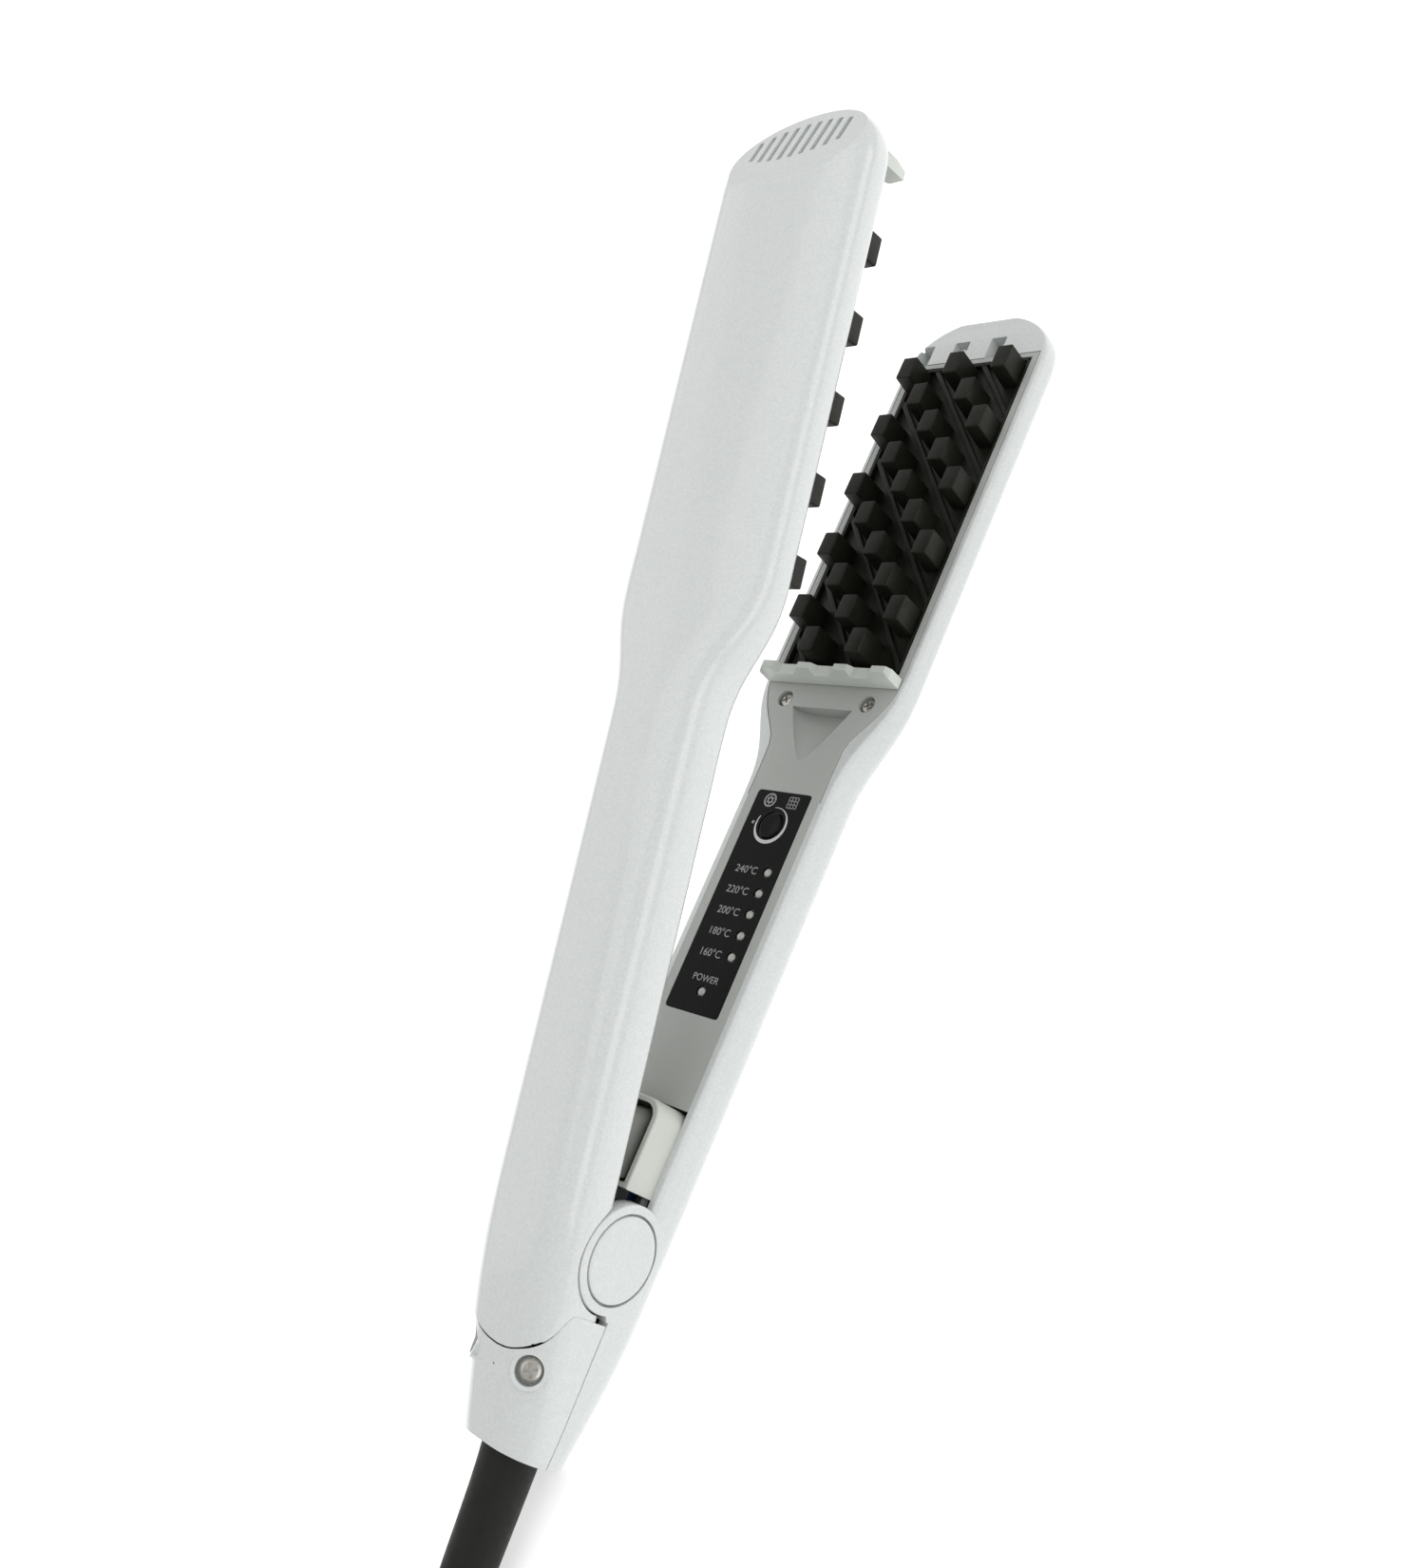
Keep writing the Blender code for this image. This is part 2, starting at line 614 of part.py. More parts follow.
def build_plate(side):
    """A plate with its block teeth, made as one grid whose tooth cells are raised."""
    arm, name = ("lower", "lower_plate") if side < 0 else ("upper", "upper_plate")
    floor = LOW_RIM if side < 0 else UP_RIM
    teeth = tooth_boxes(side)
    xs = sorted({PLATE_TAIL, PLATE_TIP} | {v for t in teeth for v in t[:2]})
    ys = sorted({-PLATE_HALF, PLATE_HALF} | {v for t in teeth for v in t[2:]})
    bm = bmesh.new()
    grid = [[bm.verts.new((x, y, floor)) for y in ys] for x in xs]
    raised = []
    for i in range(len(xs) - 1):
        for j in range(len(ys) - 1):
            face = bm.faces.new((grid[i][j], grid[i + 1][j], grid[i + 1][j + 1], grid[i][j + 1]))
            x, y = (xs[i] + xs[i + 1]) / 2, (ys[j] + ys[j + 1]) / 2
            if any(a < x < b and c < y < d for a, b, c, d in teeth):
                raised.append(face)
    edge = [e for e in bm.edges if len(e.link_faces) == 1]
    skirt = bmesh.ops.extrude_edge_only(bm, edges=edge)
    low = [v for v in skirt["geom"] if isinstance(v, bmesh.types.BMVert)]
    bmesh.ops.translate(bm, verts=low, vec=(0, 0, side * PLATE_THICK))
    rim = [e for e in bm.edges if len(e.link_faces) == 1]
    bmesh.ops.contextual_create(bm, geom=rim)
    tall = -side * (TOOTH_REACH - floor * -side)
    for face in raised:
        made = bmesh.ops.extrude_discrete_faces(bm, faces=[face])["faces"][0]
        bmesh.ops.translate(bm, verts=list(made.verts), vec=(0, 0, tall))
        middle = made.calc_center_median()
        for vert in made.verts:
            vert.co.x = middle.x + (vert.co.x - middle.x) * 0.96
            vert.co.y = middle.y + (vert.co.y - middle.y) * 0.96
    plate = mesh_object(name, bm, arm)
    return paint(plate, (0.02, 0.02, 0.018), 0.45)


def build_heater_stack(side):
    arm = "lower" if side < 0 else "upper"
    under = (LOW_RIM if side < 0 else UP_RIM) + side * (PLATE_THICK + GAP)
    parts = (("heater", 1.4, 11.0, 152.0, 212.0, (0.72, 0.60, 0.42)),
             ("insulator", 1.2, 15.0, 142.0, 222.0, (0.55, 0.50, 0.38)))
    start = under
    for part, thick, half, low_x, high_x, colour in parts:
        end = start + side * thick
        bm = bmesh.new()
        add_box(bm, (low_x, -half, min(start, end)), (high_x, half, max(start, end)))
        paint(mesh_object(f"{arm}_{part}", bm, arm), colour, 0.6)
        start = end + side * GAP


def comb_outline(base, low, high, half):
    """Front view of a comb strip with four flat-topped crests."""
    points = [(-half, base), (-half, low)]
    for place in (-1.5, -0.5, 0.5, 1.5):
        middle = place * half * 9 / 16
        left, right = middle - 2.9, middle + 2.9
        points += [(max(left, -half + 0.1), low), (middle - 1.8, high), (middle + 1.8, high),
                   (min(right, half - 0.1), low)]
    points += [(half, low), (half, base)]
    return points


def build_combs():
    bm = bmesh.new()
    outline = comb_outline(LOW_RIM + GAP, COMB_DIP, 2.5, PANEL_HALF)
    add_prism(bm, outline, *COMB_X, axis="x")
    paint(mesh_object("lower_comb", bm), (0.70, 0.72, 0.68), 0.4)
    bm = bmesh.new()
    outline = comb_outline(UP_RIM - GAP, 1.4, -3.1, PANEL_HALF)
    add_prism(bm, outline, *UP_COMB_X, axis="x")
    paint(mesh_object("upper_comb", bm, "upper"), (0.70, 0.72, 0.68), 0.4)


# ---- display and electronics ------------------------------------------------------------------
def build_display():
    top = LOW_RIM
    bm = bmesh.new()
    add_box(bm, (LABEL_X[0], -LABEL_HALF, top - 0.4), (LABEL_X[1], LABEL_HALF, top))
    label = mesh_object("display_label", bm)
    bm = bmesh.new()
    add_cylinder(bm, (*BUTTON_AT, top), (0, 0, 1), BUTTON_HOLE_R, 9, 28)
    for x in LED_X:
        add_cylinder(bm, (x, LED_Y, top), (0, 0, 1), LED_HOLE_R, 9, 12)
    add_cylinder(bm, (*POWER_LED, top), (0, 0, 1), LED_HOLE_R, 9, 12)
    combine(label, helper("cut_label_holes", bm))
    paint(label, (0.01, 0.01, 0.01), 0.3)
    board_top = top - PANEL_THICK - 2.2
    bm = bmesh.new()
    add_box(bm, (48.0, -9.2, board_top - 1.4), (108.0, 9.2, board_top))
    paint(mesh_object("circuit_board", bm), (0.05, 0.25, 0.10), 0.5)
    places = [(f"led_{t}", (x, LED_Y)) for t, x in zip((240, 220, 200, 180, 160), LED_X)]
    places.append(("led_power", POWER_LED))
    for name, (x, y) in places:
        bm = bmesh.new()
        low, high = board_top + 0.1, top - 0.15
        add_cylinder(bm, (x, y, (low + high) / 2), (0, 0, 1), 1.05, high - low, 12, 0.95)
        paint(smooth(mesh_object(name, bm)), (0.75, 0.75, 0.72), 0.2)
    bm = bmesh.new()
    x, y = BUTTON_AT
    add_box(bm, (x - 3.0, y - 3.0, board_top + 0.1), (x + 3.0, y + 3.0, board_top + 1.3))
    paint(mesh_object("tact_switch", bm), (0.03, 0.03, 0.03), 0.4)
    bm = bmesh.new()
    low, high = board_top + 1.3 + BUTTON_TRAVEL + 0.1, top + 0.2
    add_cylinder(bm, (x, y, (low + high) / 2), (0, 0, 1), 3.1, high - low, 28, 2.95)
    button = move_origin(mesh_object("power_button", bm), (x, y, top))
    paint(smooth(button), (0.015, 0.015, 0.015), 0.35)


def build_inner_parts():
    """Fuse, cord clamp and mains wires inside the handle and tail."""
    bm = bmesh.new()
    add_cylinder(bm, (40.0, 4.5, -8.5), (1, 0, 0), 1.6, 10, 12)
    paint(smooth(mesh_object("thermal_fuse", bm)), (0.75, 0.70, 0.55), 0.4)
    bm = bmesh.new()
    add_box(bm, (-31.0, -7.2, -3.0), (-25.0, 7.2, -0.6))
    paint(mesh_object("cord_clamp", bm), (0.75, 0.75, 0.72), 0.5)
    for side, name, colour in ((-1, "mains_wire_brown", (0.20, 0.09, 0.04)),
                               (1, "mains_wire_blue", (0.03, 0.10, 0.40))):
        y = side * 3.0
        points = [(-33.0, y * 0.5, -6.6), (-24.0, y, -8.6), (-14.0, y, -11.6), (0.0, y, -12.6),
                  (12.0, y, -12.8), (30.0, y, -12.8), (44.0, y, -12.0), (52.0, y, -10.2)]
        tube(name, points, 0.9, 8, colour)


def tube(name, points, radius, count, colour):
    """A round wire along a smooth path near the y = constant plane."""
    path = smooth_path(points, 3)
    rings = []
    for k, here in enumerate(path):
        before, after = path[max(k - 1, 0)], path[min(k + 1, len(path) - 1)]
        along = (after - before).normalized()
        side = along.cross(Vector((0, 1, 0))).normalized()
        over = along.cross(side).normalized()
        rings.append([here + side * radius * math.cos(a) + over * radius * math.sin(a)
                      for a in [2 * math.pi * i / count for i in range(count)]])
    bm = bmesh.new()
    add_ring_loft(bm, rings)
    return paint(smooth(mesh_object(name, bm)), colour, 0.5)


def smooth_path(points, steps):
    """Points on a smooth curve through a list of points."""
    given = [Vector(p) for p in points]
    made = []
    for k in range(len(given) - 1):
        a = given[max(k - 1, 0)]
        b, c = given[k], given[k + 1]
        d = given[min(k + 2, len(given) - 1)]
        for s in range(steps):
            t = s / steps
            made.append(0.5 * (2 * b + (c - a) * t + (2 * a - 5 * b + 4 * c - d) * t * t
                               + (3 * b - a - 3 * c + d) * t ** 3))
    made.append(given[-1])
    return made


# ---- hinge and spring -------------------------------------------------------------------------
def build_hinge():
    bm = bmesh.new()
    add_cylinder(bm, (0, 0, 0), (0, 1, 0), PIN_R, 2 * 11.0, 24)
    paint(smooth(mesh_object("hinge_pin", bm)), (0.6, 0.6, 0.62), 0.3, 1.0)
    for side, name in ((-1, "near"), (1, "far")):
        bm = bmesh.new()
        add_cylinder(bm, (0, side * (EAR_OUT - 0.45), 0), (0, side, 0), CAP_R, 1.9, 40, CAP_R - 0.25)
        paint(smooth(mesh_object("hinge_cap_" + name, bm)), (0.70, 0.73, 0.69), 0.3)
        bm = bmesh.new()
        profile = [(PIN_R + 0.3, -0.25), (6.0, -0.25), (6.0, 0.25), (PIN_R + 0.3, 0.25)]
        add_turned(bm, profile, (0, side * (EAR_IN - 0.55), 0), (0, 1, 0), 24)
        paint(smooth(mesh_object("hinge_washer_" + name, bm)), (0.6, 0.6, 0.6), 0.3, 1.0)
    bm = bmesh.new()
    outline = [(8.3 * math.cos(math.radians(a)), 8.3 * math.sin(math.radians(a)))
               for a in range(60, 360, 12)]
    outline += [(8.2, 0.0), (9.6, UP_RIM), (12.0, UP_RIM + 0.2), (12.0, 12.0), (4.6, 12.0)]
    add_prism(bm, outline, -8.3, 8.3, axis="y")
    knuckle = mesh_object("upper_knuckle", bm, "upper")
    bm = bmesh.new()
    add_cylinder(bm, (0, 0, 0), (0, 1, 0), PIN_R + 0.1, 40, 24)
    combine(knuckle, helper("cut_knuckle_bore", bm, "upper"))
    paint(smooth(knuckle), (0.60, 0.62, 0.59), 0.45)


def tub_outline(low, high, half, radius):
    """Plan view of a box with two round corners at its tip end."""
    points = [(low, -half)]
    for k in range(5):
        a = math.pi / 2 * k / 4
        points.append((high - radius + radius * math.sin(a), -half + radius * (1 - math.cos(a))))
    for k in range(5):
        a = math.pi / 2 * k / 4
        points.append((high - radius + radius * math.cos(a), half - radius + radius * math.sin(a)))
    points.append((low, half))
    return points


def build_spring_parts():
    bm = bmesh.new()
    add_prism(bm, tub_outline(12.6, 31.2, 10.6, 4.0), -9.7, 4.5)
    box = mesh_object("spring_box", bm)
    bm = bmesh.new()
    add_prism(bm, tub_outline(13.6, 30.2, 9.6, 3.0), -8.0, 12.0)
    combine(box, helper("cut_spring_box", bm))
    paint(smooth(box), (0.66, 0.68, 0.60), 0.4)
    bm = bmesh.new()
    add_prism(bm, tub_outline(15.0, 28.6, 8.3, 2.6), -4.6, UP_RIM - GAP)
    cup = mesh_object("spring_cup", bm, "upper")
    bm = bmesh.new()
    add_prism(bm, tub_outline(16.0, 27.6, 7.3, 1.6), -20.0, UP_RIM - GAP - 1.2)
    combine(cup, helper("cut_spring_cup", bm, "upper"))
    paint(smooth(cup), (0.40, 0.41, 0.39), 0.5)
    build_spring()


def build_spring():
    """The opening spring, standing in the box and reaching up into the cup."""
    x, low, high, radius, wire, turns = 21.4, -7.7, 6.2, 4.2, 0.55, 5.5
    steps = 14
    rings = []
    total = int(turns * steps)
    for k in range(total + 1):
        angle = 2 * math.pi * k / steps
        height = low + wire + (high - low - 2 * wire) * k / total
        outward = Vector((math.cos(angle), math.sin(angle), 0))
        centre = Vector((x, 0, height)) + outward * radius
        rings.append([centre + outward * wire * math.cos(a) + Vector((0, 0, wire * math.sin(a)))
                      for a in [2 * math.pi * i / 6 for i in range(6)]])
    bm = bmesh.new()
    add_ring_loft(bm, rings)
    paint(smooth(mesh_object("opening_spring", bm)), (0.5, 0.5, 0.52), 0.3, 1.0)


# ---- cord -------------------------------------------------------------------------------------
# World points in metres: the cord leaves the sleeve, lies on the table and runs into a hank in line
# with the crimper; its end comes off the top of the hank to the plug, which rests there.
SLEEVE_POINTS = [(-0.1125, 0.0, 0.0102), (-0.1165, 0.0, 0.0098), (-0.1250, 0.0, 0.0088),
                 (-0.1400, 0.0, 0.0075), (-0.1550, 0.0, 0.0062), (-0.1665, 0.0, 0.0054)]
LEAD_POINTS = [(-0.1670, 0.0, 0.0053), (-0.1690, 0.0, 0.0051), (-0.1710, 0.0, 0.0049),
               (-0.1740, -0.0001, 0.0047), (-0.1770, -0.0005, 0.0046), (-0.1800, -0.0013, 0.0045),
               (-0.1818, -0.0020, 0.0045)]
END_POINTS = [(-0.2125, -0.0186, 0.0296), (-0.2165, -0.0184, 0.0296), (-0.2230, -0.0166, 0.0296),
              (-0.2300, -0.0128, 0.0296), (-0.2370, -0.0081, 0.0296), (-0.2440, -0.0036, 0.0296),
              (-0.2510, -0.0009, 0.0296), (-0.2560, -0.0001, 0.0296), (-0.2598, 0.0, 0.0296)]
HANK_NEAR = -0.2148        # middle of the fold at the crimper's side
HANK_RUN = 0.090           # straight stretch between the folds
HANK_RADII = (0.0247, 0.0185)   # middle of the cord in the two columns of the hank
HANK_LAYERS = 4
HANK_STEP = 0.0062         # from one turn to the next
HANK_LOW = 0.0045          # middle of the cord in the lowest layer
HANK_BEVEL = 0.0020        # corner of the solid that stands for the hank
TIE_THICK = 0.0009
TIE_WIDE = 0.008
TIE_AT = -0.2635
PLUG_AT = (-0.2602, 0.0, 0.0296)
PLUG_LONG = 0.036
PIN_LONG = 0.019
PIN_RADIUS = 0.0020
PIN_APART = 0.0182
BLACK = (0.02, 0.02, 0.018)


def world_object(name, bm):
    """Makes an object from a mesh that is already in world metres."""
    bmesh.ops.recalc_face_normals(bm, faces=bm.faces)
    mesh = bpy.data.meshes.new(name)
    bm.to_mesh(mesh)
    bm.free()
    obj = bpy.data.objects.new(name, mesh)
    bpy.context.collection.objects.link(obj)
    return obj


def build_sleeve():
    """The tapered strain relief, with its head inside the tail."""
    path = smooth_path(SLEEVE_POINTS, 3)
    count = len(path)
    rings = []
    for k, here in enumerate(path):
        along = (path[min(k + 1, count - 1)] - path[max(k - 1, 0)]).normalized()
        side = Vector((0, 1, 0))
        over = along.cross(side).normalized()
        radius = (SLEEVE_R + (SLEEVE_END_R - SLEEVE_R) * k / (count - 1)) * MM
        rings.append([here + side * radius * math.cos(a) + over * radius * math.sin(a)
                      for a in [2 * math.pi * i / 24 for i in range(24)]])
    bm = bmesh.new()
    add_ring_loft(bm, rings)
    paint(smooth(world_object("strain_relief", bm)), BLACK, 0.5)


def cord_tube(name, points):
    """One stretch of the cord, as a bevelled curve with closed ends."""
    curve = bpy.data.curves.new(name, "CURVE")
    curve.dimensions = "3D"
    curve.bevel_depth = CORD_R * MM
    curve.bevel_resolution = 2
    curve.use_fill_caps = True
    curve.resolution_u = 1
    spline = curve.splines.new("POLY")
    spline.points.add(len(points) - 1)
    for target, point in zip(spline.points, points):
        target.co = (*point, 1.0)
    obj = bpy.data.objects.new(name, curve)
    bpy.context.collection.objects.link(obj)
    paint(obj, BLACK, 0.5)


def end_fold_points():
    """The cord's last fold, on top of the hank at the crimper's side."""
    radius = HANK_RADII[-1]
    height = END_POINTS[0][2]
    return [Vector((HANK_NEAR + radius * math.cos(turn), radius * math.sin(turn), height))
            for turn in [math.radians(90 - 12 * k) for k in range(15)]]


def hank_loop(radius, height, bm, steps=12):
    """A loop round the hank: two straight runs and a half circle at each end."""
    verts = []
    for middle, start in ((HANK_NEAR, -90), (HANK_NEAR - HANK_RUN, 90)):
        for k in range(steps + 1):
            turn = math.radians(start + 180 * k / steps)
            verts.append(bm.verts.new((middle + radius * math.cos(turn), radius * math.sin(turn), height)))
    return verts


def build_cord():
    cord_tube("power_cord", smooth_path(LEAD_POINTS, 2))
    cord_tube("cord_end", end_fold_points() + smooth_path(END_POINTS, 1)[1:])
    inner = HANK_RADII[-1] - HANK_STEP / 2
    outer = HANK_RADII[0] + HANK_STEP / 2
    low = HANK_LOW - HANK_STEP / 2
    high = low + HANK_LAYERS * HANK_STEP
    corner = HANK_BEVEL
    profile = [(inner, low + corner), (inner + corner, low), (outer - corner, low),
               (outer, low + corner), (outer, high - corner), (outer - corner, high),
               (inner + corner, high), (inner, high - corner)]
    bm = bmesh.new()
    loops = [hank_loop(radius, height, bm) for radius, height in profile]
    for first, second in zip(loops, loops[1:] + loops[:1]):
        for k in range(len(first)):
            j = (k + 1) % len(first)
            bm.faces.new((first[k], first[j], second[j], second[k]))
    paint(smooth(world_object("cord_hank", bm)), BLACK, 0.5)
    build_tie(inner, outer, low, high)


def build_tie(inner, outer, low, high):
    """A strap that goes once round the near run of the hank, made as a square ring."""
    bm = bmesh.new()
    loops = []
    for grow in (GAP * MM, GAP * MM + TIE_THICK):
        for x in (TIE_AT - TIE_WIDE / 2, TIE_AT + TIE_WIDE / 2):
            corners = ((-inner + grow, low - grow), (-outer - grow, low - grow),
                       (-outer - grow, high + grow), (-inner + grow, high + grow))
            loops.append([bm.verts.new((x, y, z)) for y, z in corners])
    for first, second in ((0, 1), (1, 3), (3, 2), (2, 0)):
        for k in range(4):
            j = (k + 1) % 4
            bm.faces.new((loops[first][k], loops[first][j], loops[second][j], loops[second][k]))
    paint(world_object("hank_tie", bm), BLACK, 0.7)


def build_plug():
    """A flat two-pin plug that rests on the hank."""
    x, y, z = PLUG_AT
    stations = ((0.0, 0.0052, 0.0050), (0.008, 0.0062, 0.0058), (0.014, 0.0125, 0.0066),
                (0.022, 0.0165, 0.0068), (PLUG_LONG - 0.002, 0.0170, 0.0068),
                (PLUG_LONG, 0.0155, 0.0060))
    rings = []
    for along, half, tall in stations:
        ring = []
        for k in range(20):
            c, s = math.cos(math.pi * k / 10), math.sin(math.pi * k / 10)
            ring.append((x - along, y + half * math.copysign(abs(c) ** 0.6, c),
                         z + tall * math.copysign(abs(s) ** 0.6, s)))
        rings.append(ring)
    bm = bmesh.new()
    add_ring_loft(bm, rings)
    paint(smooth(world_object("plug_body", bm)), BLACK, 0.5)
    for side, name in ((-1, "near"), (1, "far")):
        middle = (x - PLUG_LONG - GAP * MM - PIN_LONG / 2, y + side * PIN_APART / 2, z)
        bm = bmesh.new()
        bmesh.ops.create_cone(bm, cap_ends=True, segments=14, radius1=PIN_RADIUS,
                              radius2=PIN_RADIUS, depth=PIN_LONG, matrix=axis_matrix(middle, (1, 0, 0)))
        paint(smooth(world_object("plug_pin_" + name, bm)), (0.7, 0.7, 0.7), 0.25, 1.0)


def main():
    clear_scene()
    build_lower_shell()
    build_upper_shell()
    build_tail_cover()
    build_tail_screws()
    build_lower_panel()
    build_upper_panel()
    build_panel_screws()
    build_plate(-1)
    build_plate(1)
    build_heater_stack(-1)
    build_heater_stack(1)
    build_combs()
    build_display()
    build_inner_parts()
    build_hinge()
    build_spring_parts()
    build_sleeve()
    build_cord()
    build_plug()


main()
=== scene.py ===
# %% [markdown]
# # A hair crimper with block teeth
# This lesson dresses a finished CAD model of a hair crimper. The CAD solids carry the sizes and the
# joints. Here they get the fine shape and the finish of a real tool: glossy moulded arms, a matt face
# panel with a printed scale, black toothed plates, and a cord that is folded into a hank behind it.
# Lengths are in millimetres and follow the arm that a piece belongs to: X runs to the tips, Y across
# and Z out of the lower arm's face. The zero is on the hinge axis.

import json
import math

import bmesh
import bpy
from mathutils import Matrix, Vector


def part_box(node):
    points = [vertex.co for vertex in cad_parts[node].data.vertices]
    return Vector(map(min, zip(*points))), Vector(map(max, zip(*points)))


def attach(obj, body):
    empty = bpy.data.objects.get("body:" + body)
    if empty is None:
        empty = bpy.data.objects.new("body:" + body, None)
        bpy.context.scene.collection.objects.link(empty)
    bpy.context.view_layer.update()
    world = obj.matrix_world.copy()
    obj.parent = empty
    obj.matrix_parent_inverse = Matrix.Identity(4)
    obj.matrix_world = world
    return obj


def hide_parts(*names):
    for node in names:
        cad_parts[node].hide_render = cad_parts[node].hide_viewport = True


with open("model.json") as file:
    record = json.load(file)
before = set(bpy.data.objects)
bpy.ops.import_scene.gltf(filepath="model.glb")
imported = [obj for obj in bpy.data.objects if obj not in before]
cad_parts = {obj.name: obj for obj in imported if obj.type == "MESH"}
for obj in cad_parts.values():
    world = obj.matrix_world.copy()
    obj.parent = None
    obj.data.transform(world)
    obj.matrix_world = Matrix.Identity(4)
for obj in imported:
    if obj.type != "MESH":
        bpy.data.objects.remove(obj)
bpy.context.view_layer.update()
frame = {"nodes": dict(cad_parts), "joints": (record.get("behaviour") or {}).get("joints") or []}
hinge = next(joint for joint in frame["joints"] if joint["name"] == "arm_hinge")
MM = 0.001
OPEN = -math.radians(hinge["range_deg"][0])
HINGE = Vector(hinge["pos_m"])
SCALE = Matrix.Diagonal((MM, MM, MM, 1.0))
PLACE = {
    "lower": Matrix.Translation(HINGE) @ SCALE,
    "upper": Matrix.Translation(HINGE) @ Matrix.Rotation(-OPEN, 4, "Y") @ SCALE,
    "world": Matrix.Identity(4),
}
print("nodes", len(frame["nodes"]), "opening", round(math.degrees(OPEN), 1), "degrees")

# %% [markdown]
# The camera comes first, because it decides how much of the cord can be seen. It stands close to the
# crimper with a wide lens, above the near side of the hinge, and is rolled so that the arms point up.

# %% Camera
CAMERA_AT = Vector((-0.0658, -0.2100, 0.2355))
CAMERA_AIM = Vector((0.0337, 0.0359, 0.0))
CAMERA_ROLL = math.radians(-50.7)
CAMERA_HEIGHT_ANGLE = math.radians(57.8)
camera_data = bpy.data.cameras.new("camera")
camera_data.sensor_fit = "VERTICAL"
camera_data.angle = CAMERA_HEIGHT_ANGLE
camera_data.clip_start = 0.01
camera = bpy.data.objects.new("camera", camera_data)
bpy.context.scene.collection.objects.link(camera)
facing = (CAMERA_AIM - CAMERA_AT).to_track_quat("-Z", "Y").to_matrix().to_4x4()
camera.matrix_world = Matrix.Translation(CAMERA_AT) @ facing @ Matrix.Rotation(CAMERA_ROLL, 4, "Z")
bpy.context.scene.camera = camera
print("camera at", tuple(round(v, 3) for v in CAMERA_AT))

# %% [markdown]
# Every finish is a small node tree. Colours and bumps read object coordinates, which are metres here,
# so a noise scale of 1000 makes grains about a millimetre wide. A finish starts from one Principled
# shader, and short helpers hang a varied colour, a varied roughness and a bump on it.


# %% Helpers for finishes
def new_finish(name, colour, rough, metal=0.0, coat=0.0, specular=0.5):
    """A material with one Principled shader; returns it with its tree and shader."""
    finish = bpy.data.materials.new(name)
    finish.use_nodes = True
    shader = finish.node_tree.nodes["Principled BSDF"]
    shader.inputs["Base Color"].default_value = (*colour, 1.0)
    shader.inputs["Roughness"].default_value = rough
    shader.inputs["Metallic"].default_value = metal
    shader.inputs["Coat Weight"].default_value = coat
    shader.inputs["Coat Roughness"].default_value = 0.08
    shader.inputs["Specular IOR Level"].default_value = specular
    return finish, finish.node_tree, shader


def noise(tree, scale, detail=3.0, stretch=(1.0, 1.0, 1.0)):
    """A noise in object coordinates, stretched along an axis where stretch is small."""
    place = tree.nodes.new("ShaderNodeTexCoord")
    mapping = tree.nodes.new("ShaderNodeMapping")
    mapping.inputs["Scale"].default_value = stretch
    grain = tree.nodes.new("ShaderNodeTexNoise")
    grain.inputs["Scale"].default_value = scale
    grain.inputs["Detail"].default_value = detail
    tree.links.new(place.outputs["Object"], mapping.inputs["Vector"])
    tree.links.new(mapping.outputs["Vector"], grain.inputs["Vector"])
    return grain.outputs["Fac"]


def flakes(tree, scale):
    """Random cells, each with one value, as pigment flakes or fibres show."""
    place = tree.nodes.new("ShaderNodeTexCoord")
    cells = tree.nodes.new("ShaderNodeTexVoronoi")
    cells.inputs["Scale"].default_value = scale
    grey = tree.nodes.new("ShaderNodeRGBToBW")
    tree.links.new(place.outputs["Object"], cells.inputs["Vector"])
    tree.links.new(cells.outputs["Color"], grey.inputs["Color"])
    return grey.outputs["Val"]


def vary_colour(tree, shader, pattern, first, second):
    """Blends two colours by a pattern."""
    blend = tree.nodes.new("ShaderNodeMix")
    blend.data_type = "RGBA"
    blend.inputs["A"].default_value = (*first, 1.0)
    blend.inputs["B"].default_value = (*second, 1.0)
    tree.links.new(pattern, blend.inputs["Factor"])
    tree.links.new(blend.outputs["Result"], shader.inputs["Base Color"])


def vary_rough(tree, shader, pattern, low, high):
    """Turns a pattern into a range of roughness; a noise seldom leaves 0.3 to 0.7."""
    reach = tree.nodes.new("ShaderNodeMapRange")
    reach.inputs["From Min"].default_value = 0.3
    reach.inputs["From Max"].default_value = 0.7
    reach.inputs["To Min"].default_value = low
    reach.inputs["To Max"].default_value = high
    tree.links.new(pattern, reach.inputs["Value"])
    tree.links.new(reach.outputs["Result"], shader.inputs["Roughness"])


def add_bump(tree, shader, pattern, height, strength, under=None):
    """Hangs a bump of this height in metres on the shader, over the bump under if there is one."""
    bump = tree.nodes.new("ShaderNodeBump")
    bump.inputs["Distance"].default_value = height
    bump.inputs["Strength"].default_value = strength
    tree.links.new(pattern, bump.inputs["Height"])
    if under is not None:
        tree.links.new(under.outputs["Normal"], bump.inputs["Normal"])
    tree.links.new(bump.outputs["Normal"], shader.inputs["Normal"])
    return bump


# %% [markdown]
# The arms are moulded in a cool, pale grey with fine pearl flakes under a clear, glossy skin. The
# flakes are the cells of a Voronoi texture, which gives each one value, where a noise would blur them.
# Long, low waves in the skin keep the reflections from looking drawn with a ruler. The face panels
# are the same plastic from a spark-eroded mould, so they are darker and matt.


# %% Shell and panel finishes
def pearl_shell():
    finish, tree, shader = new_finish("pearl_shell", (0.61, 0.635, 0.625), 0.24, coat=0.7)
    vary_colour(tree, shader, flakes(tree, 2600.0), (0.575, 0.60, 0.59), (0.65, 0.675, 0.665))
    vary_rough(tree, shader, noise(tree, 90.0, 5.0), 0.18, 0.28)
    skin = add_bump(tree, shader, noise(tree, 55.0, 2.0), 0.00012, 0.35)
    add_bump(tree, shader, noise(tree, 2200.0, 2.0), 0.00001, 0.35, skin)
    return finish


